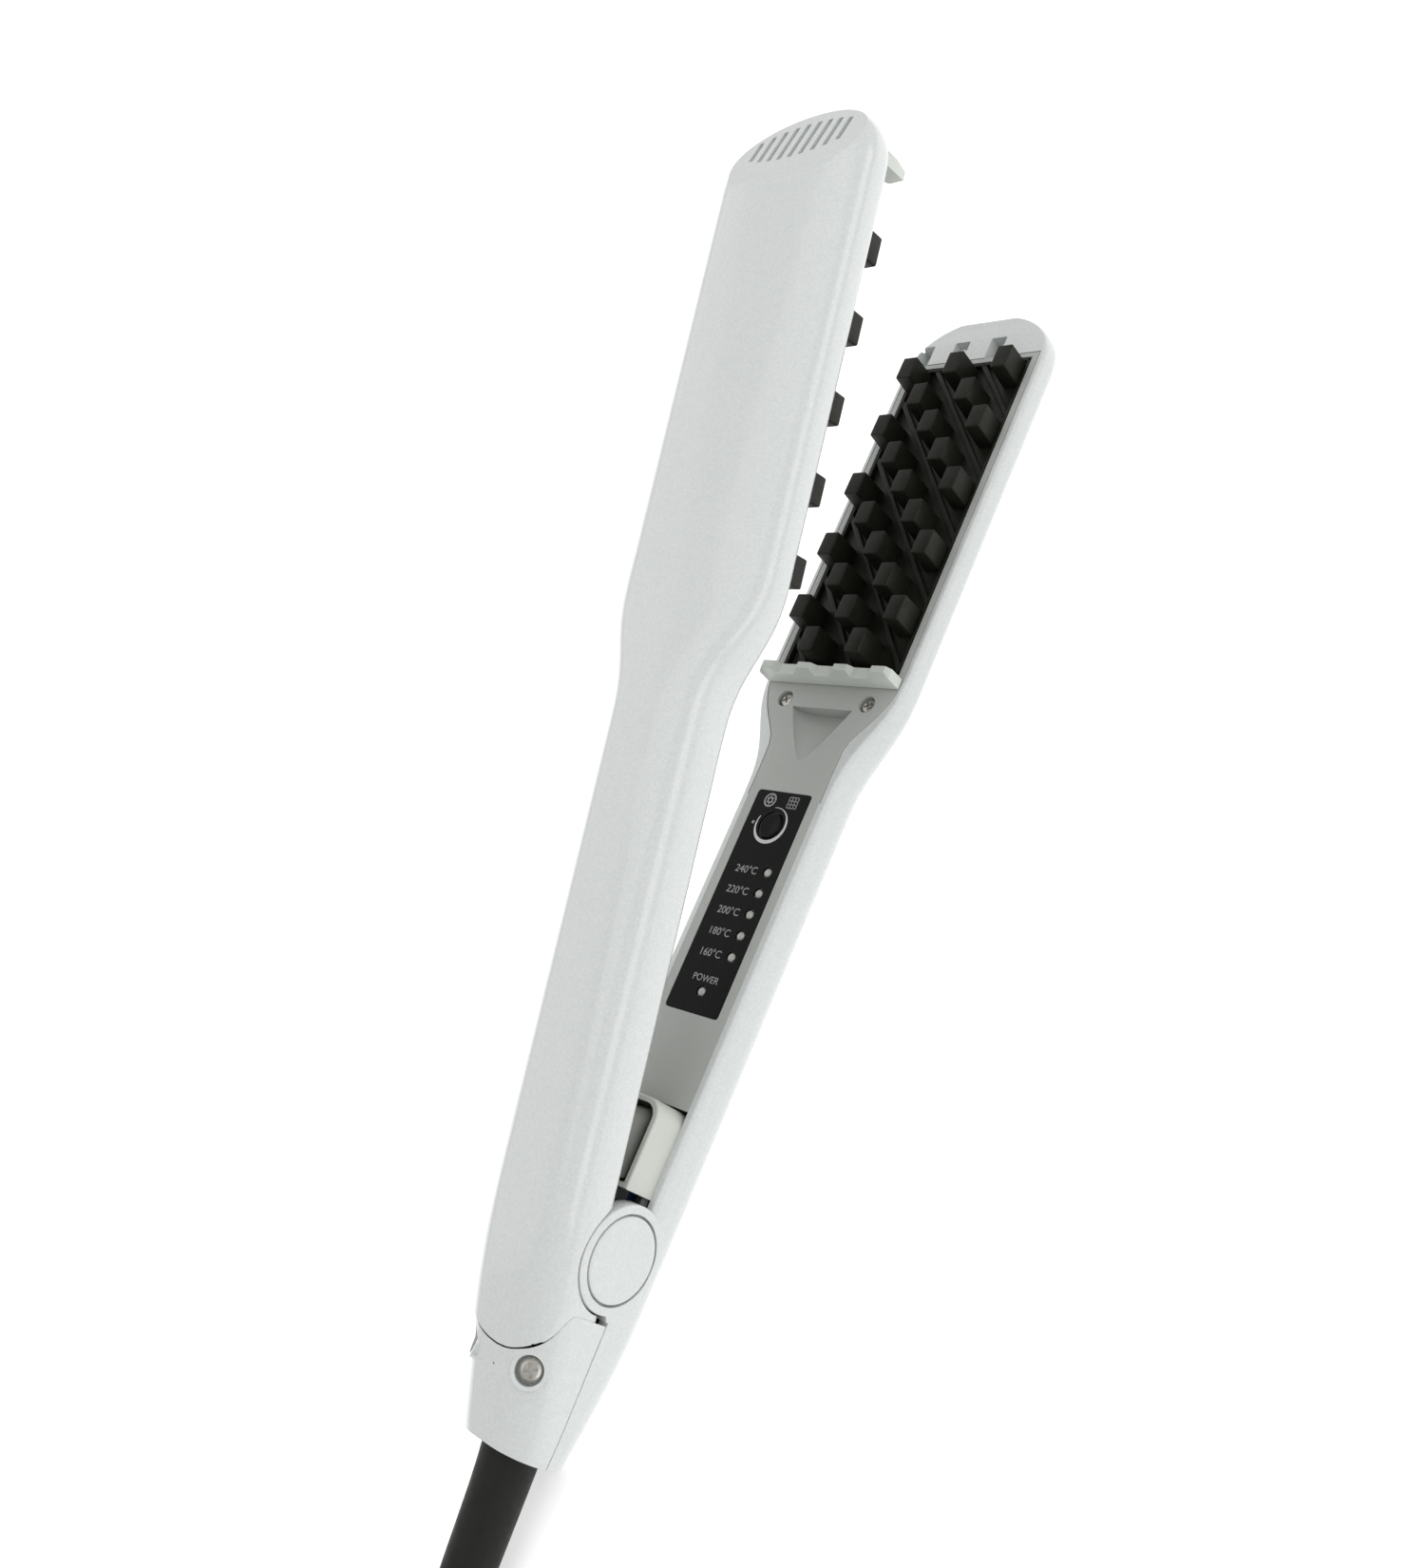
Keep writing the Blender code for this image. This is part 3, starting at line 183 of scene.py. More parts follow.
def matt_panel():
    finish, tree, shader = new_finish("matt_panel", (0.42, 0.435, 0.415), 0.5, specular=0.3)
    vary_colour(tree, shader, noise(tree, 60.0, 6.0), (0.395, 0.41, 0.39), (0.45, 0.465, 0.44))
    vary_rough(tree, shader, noise(tree, 140.0, 5.0), 0.42, 0.58)
    add_bump(tree, shader, noise(tree, 2600.0, 4.0), 0.00003, 0.5)
    return finish


def satin_grey(name, colour):
    finish, tree, shader = new_finish(name, colour, 0.4)
    darker = tuple(c * 0.93 for c in colour)
    lighter = tuple(min(1.0, c * 1.05) for c in colour)
    vary_colour(tree, shader, noise(tree, 130.0, 5.0), darker, lighter)
    vary_rough(tree, shader, noise(tree, 220.0, 4.0), 0.33, 0.48)
    add_bump(tree, shader, noise(tree, 1800.0, 3.0), 0.00002, 0.4)
    return finish


PEARL = pearl_shell()
PANEL = matt_panel()
COMB = satin_grey("comb_plastic", (0.56, 0.59, 0.55))
CREAM = satin_grey("box_plastic", (0.56, 0.58, 0.535))
CUP = satin_grey("cup_plastic", (0.15, 0.155, 0.14))
print("shell finishes", [m.name for m in (PEARL, PANEL, COMB, CREAM, CUP)])

# %% [markdown]
# The plates are a heat-proof black moulding: almost matt, a little brown, with a mineral grain. The
# cord and its sleeve are a soft black PVC with a faint, even grain.


# %% Black finishes
def black_moulding():
    finish, tree, shader = new_finish("plate_black", (0.011, 0.011, 0.008), 0.4, specular=0.18)
    vary_colour(tree, shader, noise(tree, 420.0, 6.0), (0.007, 0.007, 0.005), (0.019, 0.019, 0.014))
    vary_rough(tree, shader, noise(tree, 260.0, 5.0), 0.34, 0.5)
    skin = add_bump(tree, shader, noise(tree, 320.0, 3.0), 0.00004, 0.4)
    add_bump(tree, shader, noise(tree, 3000.0, 2.0), 0.000015, 0.5, skin)
    return finish


def cord_black():
    finish, tree, shader = new_finish("cord_black", (0.010, 0.010, 0.008), 0.55, specular=0.2)
    vary_colour(tree, shader, noise(tree, 300.0, 5.0), (0.008, 0.0085, 0.007),
                (0.015, 0.0155, 0.012))
    vary_rough(tree, shader, noise(tree, 500.0, 4.0), 0.42, 0.58)
    add_bump(tree, shader, noise(tree, 1500.0, 3.0), 0.00002, 0.4)
    return finish


def gloss_film():
    finish, tree, shader = new_finish("label_film", (0.004, 0.004, 0.004), 0.25, specular=0.12)
    vary_rough(tree, shader, noise(tree, 160.0, 6.0), 0.2, 0.3)
    add_bump(tree, shader, noise(tree, 240.0, 2.0), 0.00001, 0.3)
    return finish


# The same ink serves the print and the painted highlight round the button.
def print_and_highlight_ink(name, colour):
    finish, tree, shader = new_finish(name, colour, 0.45)
    faded = tuple(c * 0.72 for c in colour)
    vary_colour(tree, shader, noise(tree, 2600.0, 4.0), faded, colour)
    return finish


PLATE = black_moulding()
RUBBER = cord_black()
FILM = gloss_film()
INK = print_and_highlight_ink("print_grey", (0.34, 0.35, 0.34))
# A painted highlight: light ink for the bright crescent round the button.
BUTTON_HIGHLIGHT_PAINT = print_and_highlight_ink("painted_highlight_white", (0.66, 0.68, 0.65))
print("black finishes", [m.name for m in (PLATE, RUBBER, FILM)])

# %% [markdown]
# Metal is only seen in small places: screw heads, plug pins, the spring and the pin. Turned steel has
# fine rings that catch the light, and a nickelled brass pin is nearly a mirror with a few scuffs.


# %% Metal and inner finishes
def turned_metal(name, colour, rough):
    finish, tree, shader = new_finish(name, colour, rough, metal=1.0)
    darker = tuple(c * 0.7 for c in colour)
    vary_colour(tree, shader, noise(tree, 900.0, 5.0), darker, colour)
    vary_rough(tree, shader, noise(tree, 1400.0, 4.0), rough * 0.75, rough * 1.4)
    add_bump(tree, shader, noise(tree, 5000.0, 2.0, (0.2, 1.0, 1.0)), 0.00001, 0.3)
    return finish


def inner_finish(name, colour, rough, grain):
    finish, tree, shader = new_finish(name, colour, rough)
    darker = tuple(c * 0.8 for c in colour)
    vary_colour(tree, shader, noise(tree, grain, 6.0), darker, colour)
    add_bump(tree, shader, noise(tree, grain * 2, 4.0), 0.00003, 0.5)
    return finish


def lamp_lens():
    finish, tree, shader = new_finish("lamp_lens", (0.62, 0.63, 0.58), 0.18, coat=0.6)
    shader.inputs["Transmission Weight"].default_value = 0.25
    shader.inputs["IOR"].default_value = 1.49
    vary_colour(tree, shader, noise(tree, 1600.0, 3.0), (0.40, 0.41, 0.37), (0.74, 0.75, 0.70))
    return finish


SCREW = turned_metal("screw_steel", (0.56, 0.54, 0.50), 0.28)
STEEL = turned_metal("pin_steel", (0.58, 0.58, 0.60), 0.32)
NICKEL = turned_metal("pin_nickel", (0.70, 0.68, 0.62), 0.2)
LENS = lamp_lens()
CERAMIC = inner_finish("ceramic", (0.72, 0.64, 0.48), 0.7, 700.0)
MICA = inner_finish("mica", (0.48, 0.40, 0.27), 0.45, 250.0)
BOARD = inner_finish("solder_mask", (0.03, 0.20, 0.07), 0.3, 900.0)
BROWN = inner_finish("wire_brown", (0.16, 0.07, 0.035), 0.45, 1200.0)
BLUE = inner_finish("wire_blue", (0.03, 0.09, 0.34), 0.45, 1200.0)
print("metal and inner finishes ready")

# %% [markdown]
# Three helpers do most of the modelling. `slab` fills an outline and extrudes it. `sweep` stands
# outlines one behind the other and bridges them into a skin. `carve` runs a Boolean, keeps its result
# and throws the tool away. It is the exact solver, and it needs closed shapes whose walls never cross:
# one sliver too many and it may empty the piece, on some runs and not on others. A finished mesh is
# then put in its place in the world, because a piece keeps its object at the origin.


# %% Modelling helpers
def as_object(name, bm):
    bmesh.ops.recalc_face_normals(bm, faces=bm.faces)
    mesh = bpy.data.meshes.new(name)
    bm.to_mesh(mesh)
    bm.free()
    obj = bpy.data.objects.new(name, mesh)
    bpy.context.scene.collection.objects.link(obj)
    return obj


AXES = {"z": (0, 1, 2), "y": (0, 2, 1), "x": (1, 2, 0)}


def slab(bm, outline, low, high, axis="z"):
    """Fills an outline of two coordinates and extrudes it along the third; returns its new points."""
    first, second, third = AXES[axis]
    verts = []
    for a, b in outline:
        point = [0.0, 0.0, 0.0]
        point[first], point[second], point[third] = a, b, low
        verts.append(bm.verts.new(point))
    face = bm.faces.new(verts)
    made = bmesh.ops.extrude_face_region(bm, geom=[face])["geom"]
    top = [v for v in made if isinstance(v, bmesh.types.BMVert)]
    shift = [0.0, 0.0, 0.0]
    shift[third] = high - low
    bmesh.ops.translate(bm, verts=top, vec=shift)
    return verts + top


def box(bm, low, high, soften=0.0):
    """A block between two corners; soften rounds its edges."""
    middle = [(a + b) / 2 for a, b in zip(low, high)]
    size = [b - a for a, b in zip(low, high)]
    matrix = Matrix.Translation(middle) @ Matrix.Diagonal((*size, 1.0))
    verts = bmesh.ops.create_cube(bm, size=1.0, matrix=matrix)["verts"]
    if soften:
        round_edges(bm, {e for v in verts for e in v.link_edges}, soften)


def join(bm, part):
    """Adds one closed part to a bmesh that holds several, and frees the part."""
    mesh = bpy.data.meshes.new("part")
    part.to_mesh(mesh)
    part.free()
    bm.from_mesh(mesh)
    bpy.data.meshes.remove(mesh)


def round_edges(bm, edges, width, segments=2):
    """A bevel of this width on these edges only."""
    bmesh.ops.bevel(bm, geom=list(edges), offset=width, offset_type="OFFSET", segments=segments,
                    profile=0.5, affect="EDGES", clamp_overlap=True, material=-1)


def sharp_edges(bm, degrees):
    """The edges whose two faces meet at more than this angle."""
    limit = math.radians(degrees)
    return [e for e in bm.edges if len(e.link_faces) == 2 and e.calc_face_angle(0.0) > limit]


def disc_matrix(centre, axis):
    """Turns the Z axis into the given one and moves the zero to the centre."""
    turn = Vector((0, 0, 1)).rotation_difference(Vector(axis)).to_matrix().to_4x4()
    return Matrix.Translation(centre) @ turn


def rod(bm, centre, axis, radius, length, count=48, soften=0.0):
    """A round bar about its centre; soften rounds the edges of both ends."""
    made = bmesh.ops.create_cone(bm, cap_ends=True, segments=count, radius1=radius,
                                 radius2=radius, depth=length,
                                 matrix=disc_matrix(centre, axis))
    if soften:
        caps = {f for v in made["verts"] for f in v.link_faces if len(f.verts) > 4}
        round_edges(bm, {e for f in caps for e in f.edges}, soften)


def turned(bm, profile, centre, axis, count):
    """Spins a profile of (radius, height) once round an axis."""
    matrix = disc_matrix(centre, axis)
    verts = [bm.verts.new(matrix @ Vector((r, 0, h))) for r, h in profile]
    edges = [bm.edges.new(pair) for pair in zip(verts, verts[1:])]
    bmesh.ops.spin(bm, geom=verts + edges, cent=matrix.translation, axis=Vector(axis).normalized(),
                   angle=2 * math.pi, steps=count, use_merge=True)
    bmesh.ops.remove_doubles(bm, verts=bm.verts, dist=1e-5)


def sweep(bm, outlines):
    """Bridges closed outlines, one behind the other, and fills the first and the last."""
    loops = []
    for outline in outlines:
        verts = [bm.verts.new(point) for point in outline]
        loops.append([bm.edges.new(pair) for pair in zip(verts, verts[1:] + verts[:1])])
        if len(loops) in (1, len(outlines)):
            bm.faces.new(verts)
    for first, second in zip(loops, loops[1:]):
        bmesh.ops.bridge_loops(bm, edges=first + second)


def carve(obj, tool, operation="DIFFERENCE"):
    """Runs a Boolean, keeps its result and throws the tool away."""
    step = obj.modifiers.new("carve", "BOOLEAN")
    step.object = tool
    step.operation = operation
    step.solver = "EXACT"
    graph = bpy.context.evaluated_depsgraph_get()
    result = bpy.data.meshes.new_from_object(obj.evaluated_get(graph))
    obj.modifiers.clear()
    obj.data = result
    bpy.data.objects.remove(tool)


def finish_piece(obj, arm, body, material, slot, *nodes, sharp=32):
    """Puts a mesh in its place in the world and hands it to its body, finish and CAD nodes."""
    obj.data.transform(PLACE[arm])
    obj.data.materials.clear()
    obj.data.materials.append(material)
    for face in obj.data.polygons:
        face.use_smooth = True
    obj.data.set_sharp_from_angle(angle=math.radians(sharp))
    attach(obj, body)
    if nodes:
        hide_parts(*nodes)
    print(obj.name, "faces", len(obj.data.polygons))
    return obj


# %% [markdown]
# The cord is one smooth curve. It leaves the sleeve straight, sinks to the table and runs into a hank
# of eight turns: two beside each other, four layers high. The last fold lies on top, and from it the
# cord crosses to the plug, which rests on the hank. The hank lies in line with the crimper, outside
# the picture, past the edge where the cord leaves it.

# %% Cord route
LEAD_POINTS = [(-0.1670, 0.0, 0.0053), (-0.1690, 0.0, 0.0051), (-0.1710, 0.0, 0.0049),
               (-0.1740, -0.0001, 0.0047), (-0.1770, -0.0005, 0.0046), (-0.1800, -0.0013, 0.0045),
               (-0.1818, -0.0020, 0.0045)]
END_POINTS = [(-0.2125, -0.0186, 0.0296), (-0.2165, -0.0184, 0.0296), (-0.2230, -0.0166, 0.0296),
              (-0.2300, -0.0128, 0.0296), (-0.2370, -0.0081, 0.0296), (-0.2440, -0.0036, 0.0296),
              (-0.2510, -0.0009, 0.0296), (-0.2560, -0.0001, 0.0296), (-0.2598, 0.0, 0.0296)]
HANK_NEAR = -0.2148
HANK_RUN = 0.090
HANK_RADII = (0.0247, 0.0185)
HANK_LAYERS = 4
HANK_STEP = 0.0062
HANK_LOW = 0.0045
CORD_RADIUS = 0.003
FOLD_STEPS = 10
SLIDE = 0.45    # share of the far run over which a turn moves to the place of the next


def ease(t):
    """A soft step from 0 to 1."""
    t = min(1.0, max(0.0, t))
    return t * t * (3 - 2 * t)


def hank_turns():
    """Radius and height of each turn, in the order in which the cord is folded, then of its end."""
    turns = []
    for layer in range(HANK_LAYERS):
        radii = HANK_RADII if layer % 2 == 0 else tuple(reversed(HANK_RADII))
        turns += [(radius, HANK_LOW + layer * HANK_STEP) for radius in radii]
    return turns + [(HANK_RADII[-1], END_POINTS[0][2])]


def fold(middle, radius, height, start, stop, steps):
    """Points on an arc of a fold, clockwise seen from above; the first point is left out."""
    turns = [math.radians(start + (stop - start) * k / steps) for k in range(1, steps + 1)]
    return [Vector((middle + radius * math.cos(t), radius * math.sin(t), height)) for t in turns]


def entry_points():
    """The lead bends towards the near side and then swings round the near fold into the first run."""
    radius = HANK_RADII[0]
    start = HANK_NEAR + 2 * radius * math.cos(math.radians(30))
    bend = [math.radians(22 + 38 * k / 5) for k in range(1, 6)]
    points = [Vector((start - radius * math.sin(t), radius * (math.cos(t) - 1), HANK_LOW))
              for t in bend]
    return points + fold(HANK_NEAR, radius, HANK_LOW, -30, -90, 5)


def hank_points():
    """Eight turns: near run, far fold, far run on which the turn changes place, near fold."""
    turns = hank_turns()
    far = HANK_NEAR - HANK_RUN
    points = []
    for k, (radius, height) in enumerate(turns[:-1]):
        next_radius, next_height = turns[k + 1]
        points += [Vector((HANK_NEAR - HANK_RUN * s / 4, -radius, height)) for s in (1, 2, 3, 4)]
        points += fold(far, radius, height, -90, -270, FOLD_STEPS)
        wait = (1 - SLIDE) * (1 - k / (len(turns) - 2))
        for s in range(1, 13):
            moved = ease((s / 12 - wait) / SLIDE)
            points.append(Vector((far + HANK_RUN * s / 12, radius + (next_radius - radius) * moved,
                                  height + (next_height - height) * moved)))
        points += fold(HANK_NEAR, next_radius, next_height, 90, -90, FOLD_STEPS)
    return points


def curve_object(name, points, radius):
    """A round cord along straight pieces between its points."""
    curve = bpy.data.curves.new(name, "CURVE")
    curve.dimensions = "3D"
    curve.bevel_depth = radius
    curve.bevel_resolution = 5
    curve.use_fill_caps = True
    curve.resolution_u = 1
    spline = curve.splines.new("POLY")
    spline.points.add(len(points) - 1)
    for target, point in zip(spline.points, points):
        target.co = (*point, 1.0)
    spline.use_smooth = True
    obj = bpy.data.objects.new(name, curve)
    bpy.context.scene.collection.objects.link(obj)
    return obj


def through(points, steps):
    """Points on a smooth curve through a few chosen ones."""
    given = [Vector(p) for p in points]
    made = []
    for k in range(len(given) - 1):
        a, b, c = given[max(k - 1, 0)], given[k], given[k + 1]
        d = given[min(k + 2, len(given) - 1)]
        for s in range(steps):
            t = s / steps
            made.append(0.5 * (2 * b + (c - a) * t + (2 * a - 5 * b + 4 * c - d) * t * t
                               + (3 * b - a - 3 * c + d) * t ** 3))
    return made + [given[-1]]


# %% Cord, tie and plug
route = through(LEAD_POINTS, 2) + entry_points() + hank_points() + through(END_POINTS, 2)[1:]
cord = curve_object("mains_cord", route, CORD_RADIUS)
cord.data.materials.append(RUBBER)
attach(cord, "lower_arm")
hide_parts("power_cord", "cord_end", "cord_hank")

# %% [markdown]
# A strap with rounded corners goes once round a run of the hank and holds it. The plug is a flat
# two-pin one with a soft neck and a finger grip. Both are swept from outlines.

# %% Tie
RUN_HALF_WIDTH = (HANK_RADII[0] - HANK_RADII[-1] + HANK_STEP) / 2
RUN_HALF_HEIGHT = HANK_LAYERS * HANK_STEP / 2
TIE_AT = -0.2635


def strap_loop(grow, across):
    """A round-cornered loop about one run of the hank; across is its place along the run."""
    corner = 0.0026
    wide, tall = RUN_HALF_WIDTH + grow, RUN_HALF_HEIGHT + grow
    points = []
    for quarter, (side, up) in enumerate(((1, 1), (-1, 1), (-1, -1), (1, -1))):
        for k in range(5):
            turn = math.radians(90 * quarter + 22.5 * k)
            points.append((across, side * (wide - corner) + corner * math.cos(turn),
                           up * (tall - corner) + corner * math.sin(turn)))
    return points


bm = bmesh.new()
rims = []
for grow, across in ((0.0002, -0.0038), (0.0010, -0.0038), (0.0010, 0.0038), (0.0002, 0.0038)):
    verts = [bm.verts.new(point) for point in strap_loop(grow, across)]
    rims.append([bm.edges.new(pair) for pair in zip(verts, verts[1:] + verts[:1])])
for first, second in zip(rims, rims[1:] + rims[:1]):
    bmesh.ops.bridge_loops(bm, edges=first + second)
run_middle = (TIE_AT, -(HANK_RADII[0] + HANK_RADII[-1]) / 2,
              HANK_LOW + (HANK_LAYERS - 1) * HANK_STEP / 2)
bmesh.ops.translate(bm, verts=bm.verts, vec=run_middle)
tie = finish_piece(as_object("tie_strap", bm), "world", "lower_arm", RUBBER, "cord_black", "hank_tie")

# %% Plug
PLUG_AT = (-0.2602, 0.0, 0.0296)
PLUG_LONG = 0.036
PLUG_STATIONS = ((0.0, 0.0046, 0.0044), (0.0006, 0.0052, 0.0050), (0.004, 0.0055, 0.0052),
                 (0.008, 0.0062, 0.0058), (0.0105, 0.0085, 0.0062), (0.013, 0.0120, 0.0065),
                 (0.017, 0.0150, 0.0067), (0.022, 0.0165, 0.0068), (0.033, 0.0170, 0.0068),
                 (0.0353, 0.0165, 0.0064), (PLUG_LONG, 0.0155, 0.0058))


def squircle(along, half_y, half_z):
    """An outline between a circle and a box; a power of 1 would make it an ellipse."""
    count, power = 40, 0.55
    points = []
    for k in range(count):
        c, s = math.cos(2 * math.pi * k / count), math.sin(2 * math.pi * k / count)
        points.append((-along, half_y * math.copysign(abs(c) ** power, c),
                       half_z * math.copysign(abs(s) ** power, s)))
    return points


bm = bmesh.new()
sweep(bm, [squircle(*station) for station in PLUG_STATIONS])
bmesh.ops.translate(bm, verts=bm.verts, vec=PLUG_AT)
plug = as_object("plug_moulding", bm)
bm = bmesh.new()
for k in range(5):
    for up in (-1, 1):
        along = PLUG_AT[0] - 0.019 - k * 0.0026
        rod(bm, (along, PLUG_AT[1], PLUG_AT[2] + up * 0.0072), (0, 1, 0), 0.0007, 0.020, 16)
carve(plug, as_object("grip_grooves", bm))
finish_piece(plug, "world", "lower_arm", RUBBER, "cord_black", "plug_body")
for name, side in (("near", -1), ("far", 1)):
    frame_low, frame_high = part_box("plug_pin_" + name)
    middle = [(a + b) / 2 for a, b in zip(frame_low, frame_high)]
    bm = bmesh.new()
    rod(bm, middle, (1, 0, 0), 0.002, frame_high[0] - frame_low[0], 32, soften=0.0006)
    finish_piece(as_object("contact_pin_" + name, bm), "world", "lower_arm", NICKEL,
                 "contact_brass", "plug_pin_" + name)

# %% [markdown]
# The sleeve guards the cord where it bends at the tail. It is a soft tapered tube: round outlines are
# stood along a smooth line and bridged, and a small lip closes it on the cord.

# %% Sleeve
SLEEVE_POINTS = [(-0.1125, 0.0, 0.0102), (-0.1165, 0.0, 0.0098), (-0.1250, 0.0, 0.0088),
                 (-0.1400, 0.0, 0.0075), (-0.1550, 0.0, 0.0062), (-0.1665, 0.0, 0.0054)]
SLEEVE_START, SLEEVE_END = 0.0067, 0.0046
sleeve_line = through(SLEEVE_POINTS, 8)
outlines = []
for k, here in enumerate(sleeve_line):
    share = k / (len(sleeve_line) - 1)
    radius = SLEEVE_START + (SLEEVE_END - SLEEVE_START) * share
    if share > 0.97:
        radius -= 0.0008
    along = sleeve_line[min(k + 1, len(sleeve_line) - 1)] - sleeve_line[max(k - 1, 0)]
    over = along.normalized().cross(Vector((0, 1, 0)))
    outlines.append([here + radius * (Vector((0, 1, 0)) * math.cos(a) + over * math.sin(a))
                     for a in [2 * math.pi * i / 48 for i in range(48)]])
bm = bmesh.new()
sweep(bm, outlines)
finish_piece(as_object("cord_sleeve", bm), "world", "lower_arm", RUBBER, "cord_black",
             "strain_relief", sharp=50)

# %% [markdown]
# Both arms share one form: a straight handle with a rounded rectangular section, a short neck, and a
# wide head that ends in a half oval. The form is a row of cross-sections. Each is a closed outline
# with an edge rounded towards the face and a larger round along the back, and the last millimetres
# of the tip shrink in height as well, so that the tip is round in side view.

# %% Sizes of the arms
TIP_X, HEAD_HALF, HANDLE_HALF, HANDLE_END = 242.0, 21.4, 13.2, 104.0
RIM = {-1: -3.5, 1: 5.0}
BACK = {-1: -16.0, 1: 17.3}
HEAD_BACK = {-1: -12.0, 1: 14.6}
TIP_LONG = 18.0
PLATE_TAIL, ROWS, ROW_PITCH = 137.6, 10, 8.92
PLATE_TIP = PLATE_TAIL + ROWS * ROW_PITCH + 0.2
PANEL_TIP = PLATE_TIP + 1.6
NECK = [(HANDLE_END, HANDLE_HALF, 0.0), (110.0, 13.5, 0.02), (115.0, 14.6, 0.08),
        (119.0, 16.2, 0.22), (123.0, 18.1, 0.42), (127.0, 19.8, 0.65), (131.0, 20.9, 0.85),
        (136.0, HEAD_HALF, 0.97), (142.0, HEAD_HALF, 1.0)]


def between(table, x):
    """Reads a table of stations at x on a smooth curve through its rows."""
    if x <= table[0][0]:
        return table[0][1:]
    if x >= table[-1][0]:
        return table[-1][1:]
    k = next(i for i in range(len(table) - 1) if x <= table[i + 1][0])
    a, b, c, d = table[max(k - 1, 0)], table[k], table[k + 1], table[min(k + 2, len(table) - 1)]
    long = c[0] - b[0]
    t = (x - b[0]) / long
    values = []
    for i in range(1, len(b)):
        lean_b = (c[i] - a[i]) / (c[0] - a[0]) * long
        lean_c = (d[i] - b[i]) / (d[0] - b[0]) * long
        values.append((2 * t ** 3 - 3 * t * t + 1) * b[i] + (t ** 3 - 2 * t * t + t) * lean_b
                      + (3 * t * t - 2 * t ** 3) * c[i] + (t ** 3 - t * t) * lean_c)
    return tuple(values)


def quarter(t):
    """How far a quarter circle has fallen, from 0 at t = 1 to 1 at t = 0."""
    return 1 - math.sqrt(max(0.0, 1 - (1 - min(1.0, t)) ** 2))


def outline(x, half, rim_half, rim, back, round_y, round_z, drop, side, crown=0.0):
    """A closed cross-section at x; crown is how far the middle of the back stands out."""
    points = []
    for k in range(7):
        turn = math.pi / 2 * (1 - k / 6)
        points.append((rim_half + (half - rim_half) * math.cos(turn),
                       rim + side * drop * (1 - math.sin(turn))))
    for k in range(13):
        turn = math.pi / 2 * k / 12
        y = half - round_y * (1 - math.cos(turn))
        lift = crown * (1 - (y / half) ** 2) * math.sin(turn)
        points.append((y, back - side * round_z * (1 - math.sin(turn)) + side * lift))
    flat = points[-1]
    for share in (0.66, 0.33):
        y = flat[0] * share
        points.append((y, back + side * crown * (1 - (y / half) ** 2)))
    ring = [(x, y, z) for y, z in points] + [(x, 0.0, back + side * crown)]
    return ring + [(x, -y, z) for y, z in reversed(points)]


def arm_outline(x, side):
    """A cross-section of an arm; side is -1 for the lower arm and 1 for the upper."""
    half, share = between(NECK, x)
    back = BACK[side] + (HEAD_BACK[side] - BACK[side]) * share
    rim = RIM[side]
    left = TIP_X - x
    if left < TIP_LONG:
        half *= (1 - (1 - left / TIP_LONG) ** 2.6) ** 0.476
    drop = 5.0 - 1.5 * share
    round_z = min(7.0 - share, abs(back - rim) - drop - 0.4)
    rim_now = rim + side * drop * quarter(left / 1.6)
    back_now = back - side * round_z * quarter(left / 7.0)
    drop *= 1 - quarter(left / 1.6)
    round_z = min(round_z * (1 - 0.6 * quarter(left / 7.0)), abs(back_now - rim_now) - drop - 0.05)
    inset = min(1.4, 0.5 * half)
    round_y = min(7.0 + 1.5 * share, 0.8 * half)
    crown = (0.0 if side < 0 else 0.5) + 0.5 * share
    return outline(x, half, half - inset, rim_now, back_now, round_y, round_z, drop, side,
                   crown * min(1.0, left / 12.0))


def arm_stations(start):
    """Places of the cross-sections: far apart along the handle, close together at neck and tip."""
    places = [start + (HANDLE_END - start) * k / 6 for k in range(7)]
    places += [HANDLE_END + 1.9 * k for k in range(1, 21)]
    places += [150.0, 165.0, 180.0, 195.0, 210.0, TIP_X - TIP_LONG]
    places += [TIP_X - TIP_LONG * (1 - k / 24) ** 1.8 for k in range(1, 24)]
    return places + [TIP_X - 0.02]


print("cross-sections", len(arm_stations(8.0)), "with", len(arm_outline(50.0, -1)), "points each")

# %% [markdown]
# The back of each tip is cut by a slanted plane, which leaves an oval with nine narrow vents. A plane
# cut is made straight in the mesh, so it needs no Boolean. The vents are nine thin blocks whose
# lengths follow the oval, and one Boolean takes them all out.

# %% Slanted cut and vents
FACET_START, FACET_DROP, FACET_RUN = 226.5, 9.3, 23.5
VENT_COUNT, VENT_PITCH, VENT_SHIFT, VENT_X = 9, 3.1, 0.6, 234.6
VENT_HALF_LONG, VENT_HALF_WIDE, OVAL_HALF = 5.3, 0.68, 16.0


def cut_flat(bm, point, normal):
    """Cuts a closed mesh by a plane, throws the outer side away and closes the cut."""
    cut = bmesh.ops.bisect_plane(bm, geom=bm.verts[:] + bm.edges[:] + bm.faces[:], dist=1e-4,
                                 plane_co=point, plane_no=normal, clear_outer=True)
    rim = [e for e in cut["geom_cut"] if isinstance(e, bmesh.types.BMEdge)]
    if rim:
        bmesh.ops.contextual_create(bm, geom=rim)


def cut_facet(bm, side):
    """The slanted cut that makes the oval on the back of a tip."""
    cut_flat(bm, (FACET_START, 0, HEAD_BACK[side] + side * 0.05), (FACET_DROP, 0, side * FACET_RUN))


